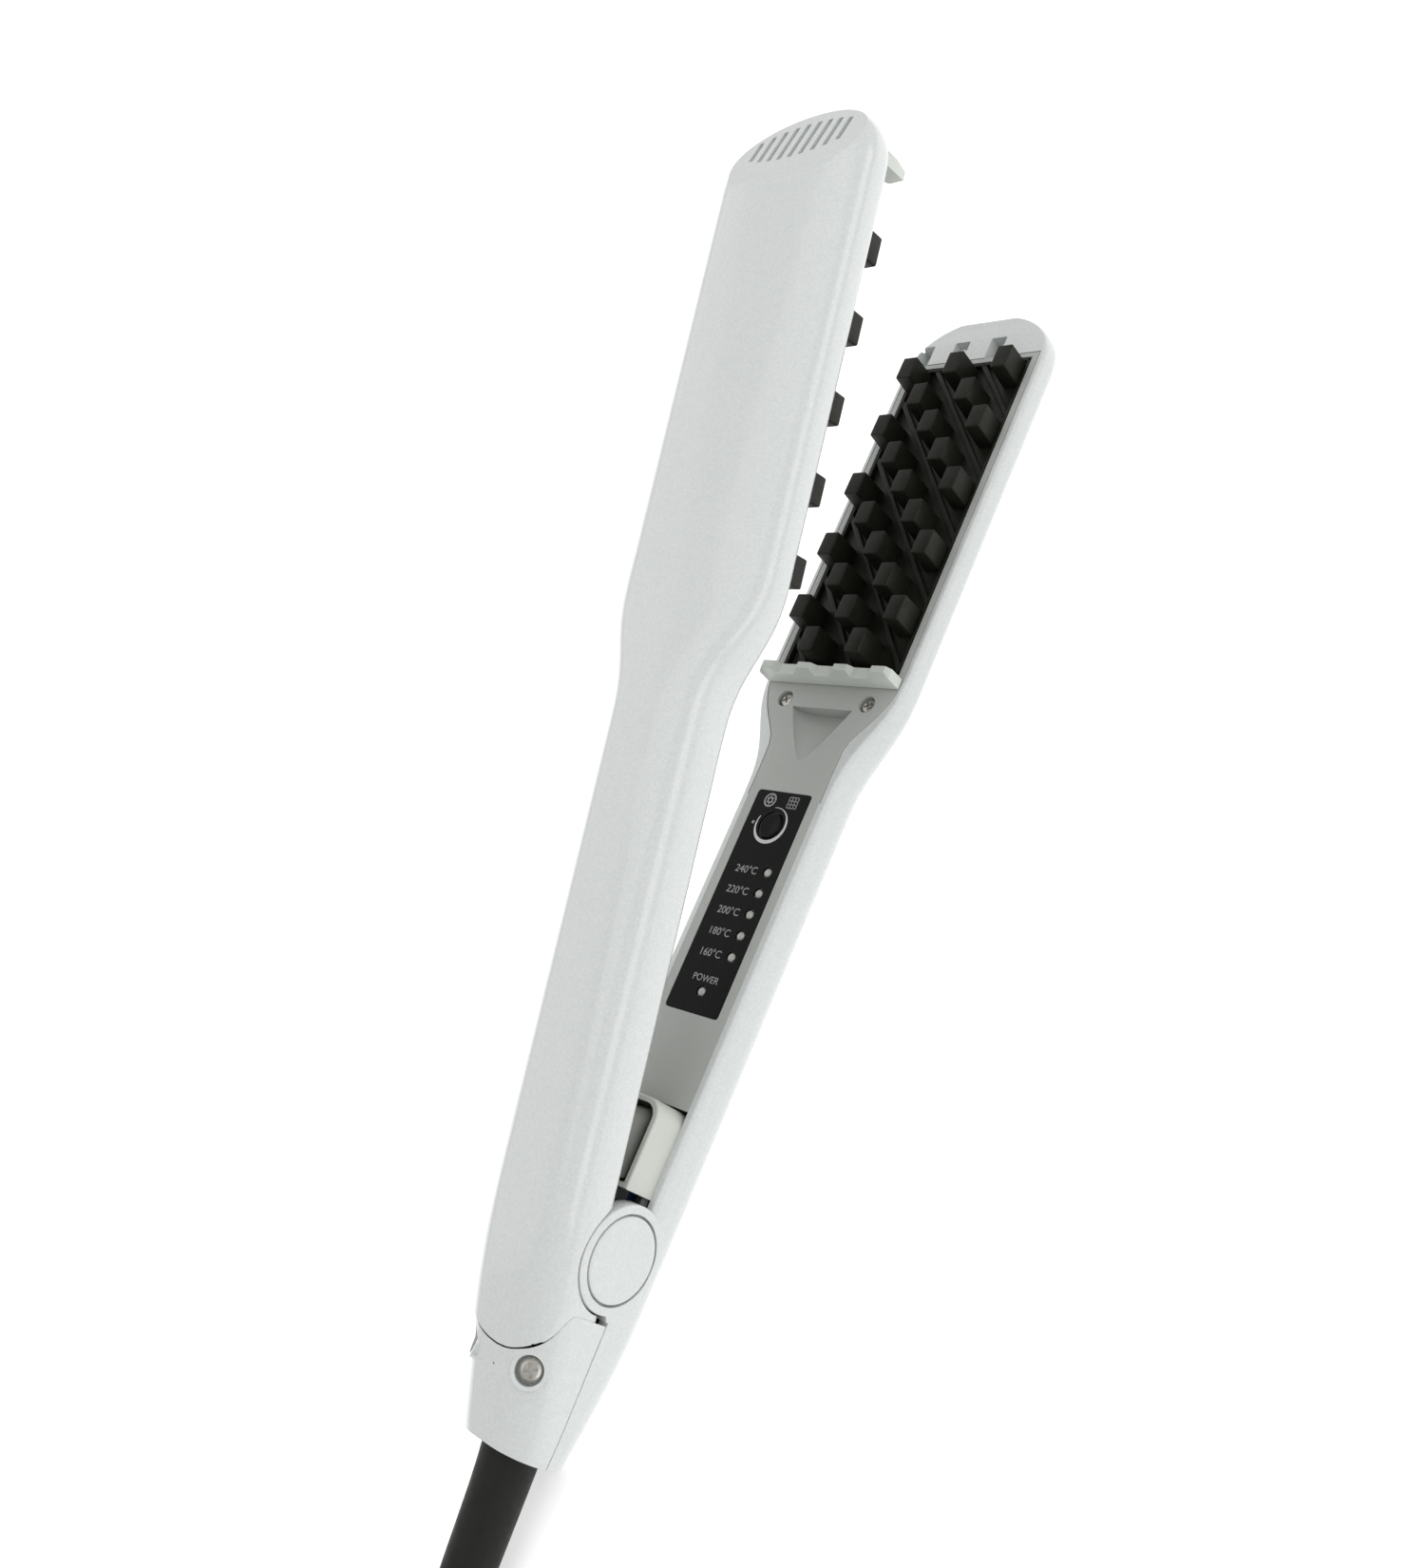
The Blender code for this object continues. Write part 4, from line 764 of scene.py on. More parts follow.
def vent_tool(side):
    """Nine blocks that lean with the oval, shorter towards its sides."""
    lean = Matrix.Rotation(side * math.atan2(FACET_DROP, FACET_RUN), 4, "Y")
    bm = bmesh.new()
    for k in range(VENT_COUNT):
        y = (k - VENT_COUNT // 2) * VENT_PITCH + VENT_SHIFT
        half = VENT_HALF_LONG * math.sqrt(max(0.12, 1 - (y / OVAL_HALF) ** 2))
        part = bmesh.new()
        box(part, (-half, -VENT_HALF_WIDE, -3.0), (half, VENT_HALF_WIDE, 3.0), 0.3)
        place = Matrix.Translation((VENT_X, y, HEAD_BACK[side] - side * 2.7)) @ lean
        bmesh.ops.transform(part, matrix=place, verts=part.verts)
        join(bm, part)
    return as_object("slots", bm)


# %% [markdown]
# The lower arm carries everything: tail, hinge ears, electronics and one plate. It is swept as one
# solid, hollowed from the face, and then gets its ears, bores and pits. The pits take the first teeth
# of the other plate when the arms close.

# %% Lower arm
TAIL_END = -41.0
TAIL = [(TAIL_END, 10.5, -6.5, -14.8), (-34.0, 11.4, -5.7, -15.2), (-26.0, 12.2, -4.7, -15.6),
        (-18.0, 12.8, -3.9, -15.9), (-12.0, 13.1, -3.5, -16.0), (-4.0, HANDLE_HALF, -3.5, -16.0)]
BOSS_R, CAP_R, EAR_IN, EAR_OUT = 11.0, 9.0, 9.4, 13.25
BORE_R = 2.5
CAP_GAP = 0.22         # room round a cap in its seat
SEAT_TOOL_OUT = 3.35   # from the ear's face to the middle of the rod that sinks the seat
SLEEVE_HOLE, SLEEVE_Z = 7.0, -6.2
PIT_PLACES, PIT_HALF, PIT_FLOOR = (16.2, 5.4, -5.4), 2.2, -7.5


def tail_outline(x):
    """A cross-section of the lower arm behind the hinge."""
    half, parting, back = between(TAIL, x)
    return outline(x, half, half - 0.1, parting, back, 7.4, 7.2, 0.4, -1)


def panel_edge(start, grow=0.0):
    """Plan of a face panel, from the handle to the end of the plate."""
    edge = [(start - grow, 10.7), (HANDLE_END + 6, 10.7), (117.0, 10.95), (119.5, 11.7),
            (122.0, 13.3), (124.5, 15.1), (127.0, 16.7), (129.5, 17.9), (132.0, 18.8),
            (135.5, 19.2), (PANEL_TIP + grow, 19.2)]
    edge = [(x, y + grow) for x, y in edge]
    return edge + [(x, -y) for x, y in reversed(edge)]


def hollow(side, start, rear):
    """Two pockets with rounded floors: a deep one along the handle and a shallow one in the head."""
    bm = bmesh.new()
    handle = [(start, rear), (-12.0, 10.6), (118.0, 10.6), (118.0, -10.6), (-12.0, -10.6),
              (start, -rear)]
    floor = BACK[side] - side * 2.2
    made = slab(bm, handle, floor, -side * 30)
    low = [e for v in made[:6] for e in v.link_edges if abs(e.verts[0].co.z - e.verts[1].co.z) < 0.1]
    round_edges(bm, set(low), 2.6, 3)
    pocket = as_object("handle_pocket", bm)
    bm = bmesh.new()
    slab(bm, panel_edge(HANDLE_END, 0.2), HEAD_BACK[side] - side * 3.0, -side * 30)
    carve(pocket, as_object("head_pocket", bm), "UNION")
    return pocket


bm = bmesh.new()
stations = [TAIL_END + (-4.0 - TAIL_END) * k / 14 for k in range(15)]
sweep(bm, [tail_outline(x) for x in stations] + [arm_outline(x, -1) for x in arm_stations(8.0)])
cut_facet(bm, -1)
lower = as_object("lower_arm_shell", bm)
carve(lower, hollow(-1, TAIL_END + 2.0, 8.4))

ear = []
for k in range(66):
    turn = math.radians(-60 + k * 3.85)
    ear.append((BOSS_R * math.cos(turn), BOSS_R * math.sin(turn)))
ear += [(-11.9, -2.8), (-11.9, -9.0)]
for side in (-1, 1):
    bm = bmesh.new()
    low, high = sorted((side * EAR_IN, side * EAR_OUT))
    slab(bm, ear, low, high, axis="y")
    round_edges(bm, sharp_edges(bm, 60), 0.35, 2)
    carve(lower, as_object("ear", bm), "UNION")
bm = bmesh.new()
for side in (-1, 1):
    rod(bm, (0, side * (EAR_OUT + SEAT_TOOL_OUT), 0), (0, 1, 0), CAP_R + CAP_GAP, 10, 96)
rod(bm, (TAIL_END, 0, SLEEVE_Z), (1, 0, 0), SLEEVE_HOLE, 12, 64)
carve(lower, as_object("cap_seats", bm))
bm = bmesh.new()
rod(bm, (0, 0, 0), (0, 1, 0), BORE_R, 60, 48)
carve(lower, as_object("bore", bm))
bm = bmesh.new()
for y in PIT_PLACES:
    box(bm, (PANEL_TIP - 2.0, y - PIT_HALF, PIT_FLOOR), (PANEL_TIP + 6.3, y + PIT_HALF, 6.0), 0.35)
carve(lower, as_object("pits", bm))
carve(lower, vent_tool(-1))
finish_piece(lower, "lower", "lower_arm", PEARL, "shell_grey", "lower_shell")

# %% [markdown]
# The upper arm is the larger surface in view. Its rear end is cut by an upright block whose edge is the
# curved seam against the tail, and by a cylinder that leaves room for the hinge ears.

# %% Upper arm
REAR = [(-30.0, 11.9, 14.0), (-24.0, 12.4, 14.7), (-16.0, 12.8, 15.7), (-8.0, 13.05, 16.5),
        (0.0, HANDLE_HALF, 17.0), (8.0, HANDLE_HALF, 17.3), (14.0, HANDLE_HALF, 17.3)]
SEAM = [(0.0, -23.4), (3.0, -23.1), (6.0, -22.2), (9.0, -20.6), (11.0, -18.4), (12.3, -15.4),
        (13.0, -12.4), (20.0, -12.2)]


def rear_outline(x):
    """A cross-section of the upper arm about the hinge."""
    half, back = between(REAR, x)
    rim = 2.0 + 3.0 * ease((x + 6.0) / 3.0)
    crown = 0.5 * ease((x + 26.0) / 26.0)
    return outline(x, half, half - 1.4, rim, back, 7.0, 7.0, 3.5 + 1.5 * ease(x / 8.0), 1, crown)


def seam_tool(shift, far):
    """The upright block behind or before the curved seam."""
    curve = []
    for k in range(41):
        y = 20.0 * k / 40
        curve.append((between(SEAM, y)[0] + shift, y))
    edge = list(reversed(curve)) + [(x, -y) for x, y in curve[1:]]
    bm = bmesh.new()
    slab(bm, edge + [(far, -20.0), (far, 20.0)], -25, 30)
    return as_object("seam_block", bm)


def into_upper(obj):
    """Turns a tool made in the lower arm's coordinates into the open upper arm's."""
    obj.data.transform(PLACE["upper"].inverted() @ PLACE["lower"])
    return obj


bm = bmesh.new()
rear = [-30.0 + 44.0 * k / 16 for k in range(17)]
sweep(bm, [rear_outline(x) for x in rear] + [arm_outline(x, 1) for x in arm_stations(22.0)])
cut_facet(bm, 1)
upper = as_object("upper_arm_shell", bm)
carve(upper, hollow(1, -40.0, 10.2))
carve(upper, into_upper(seam_tool(0.15, -60.0)))
bm = bmesh.new()
rod(bm, (0, 0, 0), (0, 1, 0), BOSS_R + 0.35, 60, 128)
carve(upper, as_object("boss_room", bm))
carve(upper, vent_tool(1))
finish_piece(upper, "upper", "upper_arm", PEARL, "shell_grey", "upper_shell")

# %% [markdown]
# The tail cover closes the lower arm behind the upper one. Two deep round holes lead to its screws.

# %% Tail cover
COVER = [(TAIL_END, 10.5, -6.5, 2.6), (-34.0, 11.4, -5.7, 5.2), (-26.0, 12.2, -4.7, 8.2),
         (-18.0, 12.75, -3.9, 11.4), (-10.0, 13.1, -3.5, 14.4)]
TAIL_SCREW, SCREW_TILT = Vector((-25.0, 9.0, 7.6)), Vector((0.0, 0.62, 0.785))


def cover_outline(x):
    """A cross-section of the tail cover."""
    half, parting, top = between(COVER, x)
    low = parting + 0.2
    return outline(x, half, half - 0.1, low, top, 8.0, min(8.2, top - low - 0.8), 0.4, 1,
                   0.4 * ease((x + 40.0) / 20.0))


def mirrored(vector, side):
    """The same place or direction on the near or the far side."""
    return Vector((vector[0], side * vector[1], vector[2]))


bm = bmesh.new()
sweep(bm, [cover_outline(TAIL_END + 31.0 * k / 20) for k in range(21)])
end = [f for f in bm.faces if len(f.verts) > 8 and abs(f.calc_center_median().x - TAIL_END) < 0.1]
round_edges(bm, {e for f in end for e in f.edges}, 1.0, 3)
cover = as_object("tail_cap", bm)
carve(cover, seam_tool(-0.15, 30.0))
bm = bmesh.new()
sweep(bm, [[(x, h, -20.0), (x, h, r - 5.5), (x, h - 1.7, r - 1.7), (x, h - 5.5, r), (x, 5.5 - h, r),
            (x, 1.7 - h, r - 1.7), (x, -h, r - 5.5), (x, -h, -20.0)]
           for x, h, r in ((TAIL_END + 2.0, 8.4, 0.4), (-26.0, 10.1, 6.0), (-8.0, 11.0, 12.6))])
carve(cover, as_object("tail_hollow", bm))
for side in (-1, 1):
    tilt = mirrored(SCREW_TILT, side)
    bm = bmesh.new()
    rod(bm, mirrored(TAIL_SCREW, side) - tilt * 3.2, tilt, 3.7, 4.6, 48)
    carve(cover, as_object("screw_cup", bm), "UNION")
    bm = bmesh.new()
    rod(bm, mirrored(TAIL_SCREW, side) + tilt * 1.0, tilt, 2.9, 10.0, 48)
    carve(cover, as_object("screw_well", bm))
bm = bmesh.new()
rod(bm, (TAIL_END, 0, SLEEVE_Z), (1, 0, 0), SLEEVE_HOLE, 12, 64)
rod(bm, (-27.0, 0, 10.0), (0, 0, 1), 0.25, 8, 16)
carve(cover, as_object("cord_hole", bm))
finish_piece(cover, "lower", "lower_arm", PEARL, "shell_grey", "tail_cover")

# %% [markdown]
# A face panel closes each arm. The lower one has a window for the plate, a shallow seat for the
# printed label, holes for lamps and button, and a thumb scoop shaped as half a cone that lies on its
# side. Its long edges get a fine bevel, because a moulded edge always catches a line of light.

# %% Face panels
PANEL_THICK = 2.0
LABEL_X, LABEL_HALF = (51.5, 105.3), 7.9
LAMP_X = {240: 85.8, 220: 80.7, 200: 75.6, 180: 70.5, 160: 65.4}
LAMP_Y, POWER_LAMP, BUTTON_AT = -4.6, (56.5, -0.5), (96.9, 0.2)
LAMP_HOLE_R, BUTTON_HOLE_R = 1.3, 3.4
LABEL_CORNER, LABEL_GAP, WINDOW_GAP = 0.9, 0.25, 0.3
SCREW_AT = [(129.3, -12.2), (129.3, 12.2)]
PLATE_HALF = 17.3
SCOOP_START, SCOOP_END, SCOOP_HALF, SCOOP_DEEP = 113.6, 127.4, 8.6, 4.2


def display_holes(lamp_sides, button_sides):
    """One round rod for each lamp and one for the button, to cut panel and label."""
    bm = bmesh.new()
    for x in LAMP_X.values():
        rod(bm, (x, LAMP_Y, RIM[-1]), (0, 0, 1), LAMP_HOLE_R, 9, lamp_sides)
    rod(bm, (*POWER_LAMP, RIM[-1]), (0, 0, 1), LAMP_HOLE_R, 9, lamp_sides)
    rod(bm, (*BUTTON_AT, RIM[-1]), (0, 0, 1), BUTTON_HOLE_R, 9, button_sides)
    return as_object("display_holes", bm)


def panel_body(name, start, side):
    """A face panel with its window and its two screw holes."""
    bm = bmesh.new()
    rim = RIM[side]
    slab(bm, panel_edge(start), rim + side * PANEL_THICK, rim)
    round_edges(bm, sharp_edges(bm, 60), 0.18, 2)
    panel = as_object(name, bm)
    bm = bmesh.new()
    box(bm, (PLATE_TAIL - WINDOW_GAP, -PLATE_HALF - WINDOW_GAP, rim - 12),
        (PLATE_TIP + WINDOW_GAP, PLATE_HALF + WINDOW_GAP, rim + 12))
    for x, y in SCREW_AT:
        rod(bm, (x, y, rim + side * 0.1), (0, 0, 1), 2.1, 2.8, 40)
    carve(panel, as_object("window", bm))
    return panel


panel = panel_body("lower_face_panel", 31.6, -1)
bm = bmesh.new()
box(bm, (112.0, -9.6, RIM[-1] - 5.6), (127.9, 9.6, RIM[-1] - 1.6))
carve(panel, as_object("scoop_block", bm), "UNION")
bm = bmesh.new()
scoop = []
for k in range(13):
    share = 1 - k / 12
    x = SCOOP_START + (SCOOP_END - SCOOP_START) * share
    half, deep = 0.3 + SCOOP_HALF * share ** 0.8, 0.1 + SCOOP_DEEP * share
    ring = [(x, half * math.cos(a), RIM[-1] - deep * math.sin(a) ** 0.85)
            for a in [math.pi * i / 32 for i in range(33)]]
    scoop.append(ring + [(x, -half, RIM[-1] + 3), (x, half, RIM[-1] + 3)])
sweep(bm, scoop)
carve(panel, as_object("scoop", bm))
bm = bmesh.new()
box(bm, (LABEL_X[0] - LABEL_GAP, -LABEL_HALF - LABEL_GAP, RIM[-1] - 0.6),
    (LABEL_X[1] + LABEL_GAP, LABEL_HALF + LABEL_GAP, RIM[-1] + 5), LABEL_CORNER)
carve(panel, as_object("label_seat", bm))
carve(panel, display_holes(24, 48))
finish_piece(panel, "lower", "lower_arm", PANEL, "panel_grey", "lower_panel")
finish_piece(panel_body("upper_face_panel", 12.5, 1), "upper", "upper_arm", PANEL, "panel_grey",
             "upper_panel")

# %% [markdown]
# Each plate is a black moulding: a floor, diagonal ribs that tie the teeth together, and rows of two
# and three block teeth. The rows of the two plates alternate, so that closed teeth mesh. A tooth
# starts as a cube, is tapered, and gets rounded edges.

# %% Toothed plates
TOOTH_LONG, TOOTH_WIDE, TOOTH_REACH, COLUMN_PITCH = 6.7, 4.5, 3.1, 14.0
RIB_WIDE, RIB_DROP, FLOOR_DROP = 1.3, 0.15, 1.3
TIP_TO_TOOTH, EDGE_HALF, RIB_TRIM = 1.1, 0.35, 0.3


def first_tooth(rows_on):
    """Middle along the plate of the row that lies rows_on rows from the tip."""
    return PLATE_TIP - TIP_TO_TOOTH - TOOTH_LONG / 2 - rows_on * ROW_PITCH


def tooth_places(side):
    """Middle of every tooth, row by row from the tip."""
    places = []
    for row in range(ROWS):
        wide = (row % 2 == 0) if side < 0 else (row % 2 == 1)
        x = first_tooth(row)
        places += [(x, k * COLUMN_PITCH) for k in ((-1, 0, 1) if wide else (-0.5, 0.5))]
    return places


def add_tooth(bm, x, y, floor, top):
    """A block that narrows towards its top."""
    low, high = sorted((floor, top))
    part = bmesh.new()
    box(part, (-TOOTH_LONG / 2, -TOOTH_WIDE / 2, low), (TOOTH_LONG / 2, TOOTH_WIDE / 2, high))
    for vert in part.verts:
        if abs(vert.co.z - top) < 0.01:
            vert.co.x *= 0.955
            vert.co.y *= 0.93
    round_edges(part, part.edges, 0.42, 3)
    bmesh.ops.translate(part, verts=part.verts, vec=(x, y, 0))
    join(bm, part)


def plate_ribs(side):
    """Diagonal bars through the spaces between the teeth, trimmed to the plate."""
    bm = bmesh.new()
    lean = math.atan2(COLUMN_PITCH / 2, ROW_PITCH)
    rim = RIM[side]
    first = first_tooth(0 if side < 0 else 1)
    for k in range(-2, 7):
        middle = (first - k * 2 * ROW_PITCH, COLUMN_PITCH / 2, rim + side * (RIB_DROP + 0.8))
        place = Matrix.Translation(middle) @ Matrix.Rotation(lean, 4, "Z")
        part = bmesh.new()
        box(part, (-60, -RIB_WIDE / 2, -0.8), (60, RIB_WIDE / 2, 0.8))
        bmesh.ops.transform(part, matrix=place, verts=part.verts)
        for point, normal in (((PLATE_TAIL + RIB_TRIM, 0, 0), (-1, 0, 0)),
                              ((PLATE_TIP - RIB_TRIM, 0, 0), (1, 0, 0)),
                              ((0, PLATE_HALF - RIB_TRIM, 0), (0, 1, 0)),
                              ((0, RIB_TRIM - PLATE_HALF, 0), (0, -1, 0))):
            cut_flat(part, point, normal)
        round_edges(part, sharp_edges(part, 40), 0.25, 2)
        join(bm, part)
    return bm


def toothed_plate(name, side):
    """Ribs, floor, teeth and a low rim round them, as one mesh of closed parts."""
    rim = RIM[side]
    bm = plate_ribs(side)
    floor = rim + side * FLOOR_DROP
    box(bm, (PLATE_TAIL, -PLATE_HALF, min(floor, rim + side * 2.5)),
        (PLATE_TIP, PLATE_HALF, max(floor, rim + side * 2.5)), 0.15)
    for x, y in tooth_places(side):
        add_tooth(bm, x, y, floor + side * 0.3, -side * TOOTH_REACH)
    frame_low, frame_high = sorted((floor + side * 0.4, rim + side * 0.05))
    for y in (-PLATE_HALF + EDGE_HALF, PLATE_HALF - EDGE_HALF):
        box(bm, (PLATE_TAIL, y - EDGE_HALF, frame_low), (PLATE_TIP, y + EDGE_HALF, frame_high), 0.1)
    for x in (PLATE_TAIL + EDGE_HALF, PLATE_TIP - EDGE_HALF):
        box(bm, (x - EDGE_HALF, -PLATE_HALF, frame_low), (x + EDGE_HALF, PLATE_HALF, frame_high), 0.1)
    return as_object(name, bm)


finish_piece(toothed_plate("lower_toothed_plate", -1), "lower", "lower_arm", PLATE, "plate_black",
             "lower_plate")
finish_piece(toothed_plate("upper_toothed_plate", 1), "upper", "upper_arm", PLATE, "plate_black",
             "upper_plate")

# %% [markdown]
# A comb stands across each plate's end: the lower one at the handle, the upper one at the tip. It
# spreads the hair over the teeth. Seen from the front it has four flat crests. The side of a crest
# that faces the handle is cut away at a slant.

# %% Combs
COMB_HALF, COMB_CREST, COMB_FOOT = 19.3, 1.85, 3.1
CREST_PLACES = (-16.2, -5.4, 5.4, 16.2)


def comb(name, base, dip, crest, low_x, high_x, slant):
    """A strip with four crests; slant cuts the handle side of each crest back."""
    last = COMB_HALF - 0.1
    edge = [(-COMB_HALF, base)]
    for middle in CREST_PLACES:
        edge += [(max(middle - COMB_FOOT, -last), dip), (middle - COMB_CREST, crest),
                 (middle + COMB_CREST, crest), (min(middle + COMB_FOOT, last), dip)]
    edge.append((COMB_HALF, base))
    bm = bmesh.new()
    slab(bm, edge, low_x, high_x, axis="x")
    for vert in bm.verts:
        if abs(vert.co.z - crest) < 0.01 and abs(vert.co.x - low_x) < 0.01:
            vert.co.x += slant
    round_edges(bm, sharp_edges(bm, 20), 0.14, 2)
    return as_object(name, bm)


finish_piece(comb("lower_comb_strip", RIM[-1] + 0.3, 1.2, 2.5, 133.4, 136.0, 1.1), "lower",
             "lower_arm", COMB, "comb_grey", "lower_comb", sharp=20)
finish_piece(comb("upper_comb_strip", RIM[1] - 0.3, 1.4, -3.1, 228.6, 231.6, 1.0), "upper",
             "upper_arm", COMB, "comb_grey", "upper_comb", sharp=20)

# %% [markdown]
# The label is a thin black film with round corners. What is printed on it is real but very thin
# geometry: letters from a text object and two small pictograms of our own; a bright crescent about
# the button is a painted highlight made the same way. Each lies 0.02 mm above the film, so that the two
# surfaces never flicker.

# %% Label
FACE = RIM[-1]
PRINT_AT = FACE + 0.02
bm = bmesh.new()
slab(bm, [(LABEL_X[0], -LABEL_HALF), (LABEL_X[1], -LABEL_HALF), (LABEL_X[1], LABEL_HALF),
          (LABEL_X[0], LABEL_HALF)], FACE - 0.4, FACE)
upright = [e for e in bm.edges if abs(e.verts[0].co.z - e.verts[1].co.z) > 0.3]
round_edges(bm, upright, LABEL_CORNER, 6)
label = as_object("label_film", bm)
carve(label, display_holes(32, 64))
finish_piece(label, "lower", "lower_arm", FILM, "black_gloss", "display_label")


# %% Printed scale
def printed_text(name, words, x, y, size):
    """A line of print, read with the tips up: its lines run across the handle."""
    letters = bpy.data.curves.new(name, "FONT")
    letters.body = words
    letters.size = size
    letters.align_x = "CENTER"
    letters.align_y = "CENTER"
    letters.offset = 0.012
    source = bpy.data.objects.new(name + "_source", letters)
    bpy.context.scene.collection.objects.link(source)
    graph = bpy.context.evaluated_depsgraph_get()
    mesh = bpy.data.meshes.new_from_object(source.evaluated_get(graph))
    bpy.data.objects.remove(source)
    mesh.transform(Matrix.Translation((x, y, PRINT_AT)) @ Matrix.Rotation(math.radians(-90), 4, "Z"))
    obj = bpy.data.objects.new(name, mesh)
    bpy.context.scene.collection.objects.link(obj)
    return finish_piece(obj, "lower", "lower_arm", INK, "lamp_clear")


for degrees, x in LAMP_X.items():
    printed_text(f"print_{degrees}", f"{degrees}°C", x - 0.2, 1.6, 2.5)
printed_text("print_power", "POWER", 59.4, -0.2, 2.2)


# %% Painted highlight crescent and printed pictograms
def flat_ring(bm, x, y, outer, inner, shift=(0.0, 0.0), count=72):
    """A flat ring; shift moves its hole, which makes a crescent."""
    made = bmesh.ops.create_circle(bm, cap_ends=False, segments=count, radius=outer,
                                   matrix=Matrix.Translation((x, y, PRINT_AT)))["verts"]
    edges = list({e for v in made for e in v.link_edges})
    hole = [g for g in bmesh.ops.extrude_edge_only(bm, edges=edges)["geom"]
            if isinstance(g, bmesh.types.BMVert)]
    for vert in hole:
        vert.co.x = x + shift[0] + (vert.co.x - x) * inner / outer
        vert.co.y = y + shift[1] + (vert.co.y - y) * inner / outer
    return made + hole


# A painted highlight: a bright crescent round the button hole, thicker on one side and open over a
# short arc.
bm = bmesh.new()
flat_ring(bm, *BUTTON_AT, 4.55, 4.05, (0.36, 0.12))
gap_start, gap_end = math.radians(8), math.radians(62)
gone = [f for f in bm.faces
        if gap_start < math.atan2(f.calc_center_median().y - BUTTON_AT[1],
                                  f.calc_center_median().x - BUTTON_AT[0]) < gap_end]
bmesh.ops.delete(bm, geom=gone, context="FACES")
finish_piece(as_object("painted_highlight_crescent", bm), "lower", "lower_arm", BUTTON_HIGHLIGHT_PAINT, "lamp_clear")
WHEEL_AT, GRID_AT, DOT_AT = (103.0, 3.4), (103.0, -3.4), (97.1, 5.6)
STROKE = 0.22


def flat_bar(bm, place, wide, tall):
    """A flat rectangle of print about a place."""
    bmesh.ops.create_grid(bm, x_segments=1, y_segments=1, size=0.5,
                          matrix=place @ Matrix.Diagonal((wide, tall, 1, 1)))


bm = bmesh.new()
flat_ring(bm, *WHEEL_AT, 1.75, 1.35)
flat_ring(bm, *WHEEL_AT, 0.85, 0.45, count=24)
for k in range(6):
    turn = Matrix.Translation((*WHEEL_AT, PRINT_AT)) @ Matrix.Rotation(math.pi * k / 3, 4, "Z")
    flat_bar(bm, turn @ Matrix.Translation((1.15, 0, 0)), 0.6, STROKE)
flat_bar(bm, Matrix.Translation((*DOT_AT, PRINT_AT)), 0.7, 0.7)
for shift in (-1.35, -0.45, 0.45, 1.35):
    flat_bar(bm, Matrix.Translation((GRID_AT[0] + shift, GRID_AT[1], PRINT_AT)), STROKE, 3.0)
    flat_bar(bm, Matrix.Translation((GRID_AT[0], GRID_AT[1] + shift, PRINT_AT)), 3.0, STROKE)
finish_piece(as_object("print_pictograms", bm), "lower", "lower_arm", INK, "lamp_clear")

# %% [markdown]
# The lamps are small clear domes that stand a hair above the film, each in a dark hole. The button is
# a black disc with a worn, slightly dished top. Both are turned from a profile.

# %% Lamps and button
LAMP_PROFILE = [(0.0, 0.32), (0.35, 0.29), (0.66, 0.17), (0.86, 0.02), (0.95, -0.2), (1.0, -3.9),
                (0.0, -3.9)]
BUTTON_PROFILE = [(0.0, 0.05), (1.8, 0.08), (2.5, 0.17), (2.8, 0.16), (3.0, 0.02), (3.1, -0.3),
                  (3.1, -2.2), (0.0, -2.2)]
lamps = {str(degrees): (x, LAMP_Y) for degrees, x in LAMP_X.items()}
lamps["power"] = POWER_LAMP
for name, at in lamps.items():
    bm = bmesh.new()
    turned(bm, LAMP_PROFILE, (*at, FACE), (0, 0, 1), 32)
    finish_piece(as_object("lamp_" + name, bm), "lower", "lower_arm", LENS, "lamp_clear",
                 "led_" + name, sharp=60)
bm = bmesh.new()
turned(bm, BUTTON_PROFILE, (*BUTTON_AT, FACE), (0, 0, 1), 64)
finish_piece(as_object("button_cap", bm), "lower", "power_button", FILM, "black_gloss",
             "power_button", sharp=50)

# %% [markdown]
# The hinge shows as a round cap on each side, set in a ring of the ear. Behind it are a steel pin,
# two washers and the knuckle of the upper arm. Screws have a cross in the head.

# %% Hinge
SIDES = (("near", -1), ("far", 1))
CAP_PROFILE = [(0.0, 0.62), (7.6, 0.56), (8.3, 0.50), (8.65, 0.34), (8.78, 0.0), (8.78, -1.2),
               (0.0, -1.2)]
KNUCKLE_R, KNUCKLE_HALF = 8.3, 8.3
for name, side in SIDES:
    bm = bmesh.new()
    turned(bm, CAP_PROFILE, (0, side * (EAR_OUT - 0.35), 0), (0, side, 0), 128)
    finish_piece(as_object("cap_disc_" + name, bm), "lower", "lower_arm", PEARL, "shell_grey",
                 "hinge_cap_" + name)
bm = bmesh.new()
knuckle = [(KNUCKLE_R * math.cos(math.radians(a)), KNUCKLE_R * math.sin(math.radians(a)))
           for a in range(60, 361, 5)]
knuckle += [(8.2, 0.0), (9.6, RIM[1]), (12.0, RIM[1] + 0.2), (12.0, 12.0), (4.6, 12.0)]
slab(bm, knuckle, -KNUCKLE_HALF, KNUCKLE_HALF, axis="y")
round_edges(bm, sharp_edges(bm, 60), 0.35, 3)
barrel = as_object("knuckle", bm)
bm = bmesh.new()
rod(bm, (0, 0, 0), (0, 1, 0), BORE_R, 40, 48)
carve(barrel, as_object("knuckle_bore", bm))
finish_piece(barrel, "upper", "upper_arm", COMB, "panel_grey", "upper_knuckle")


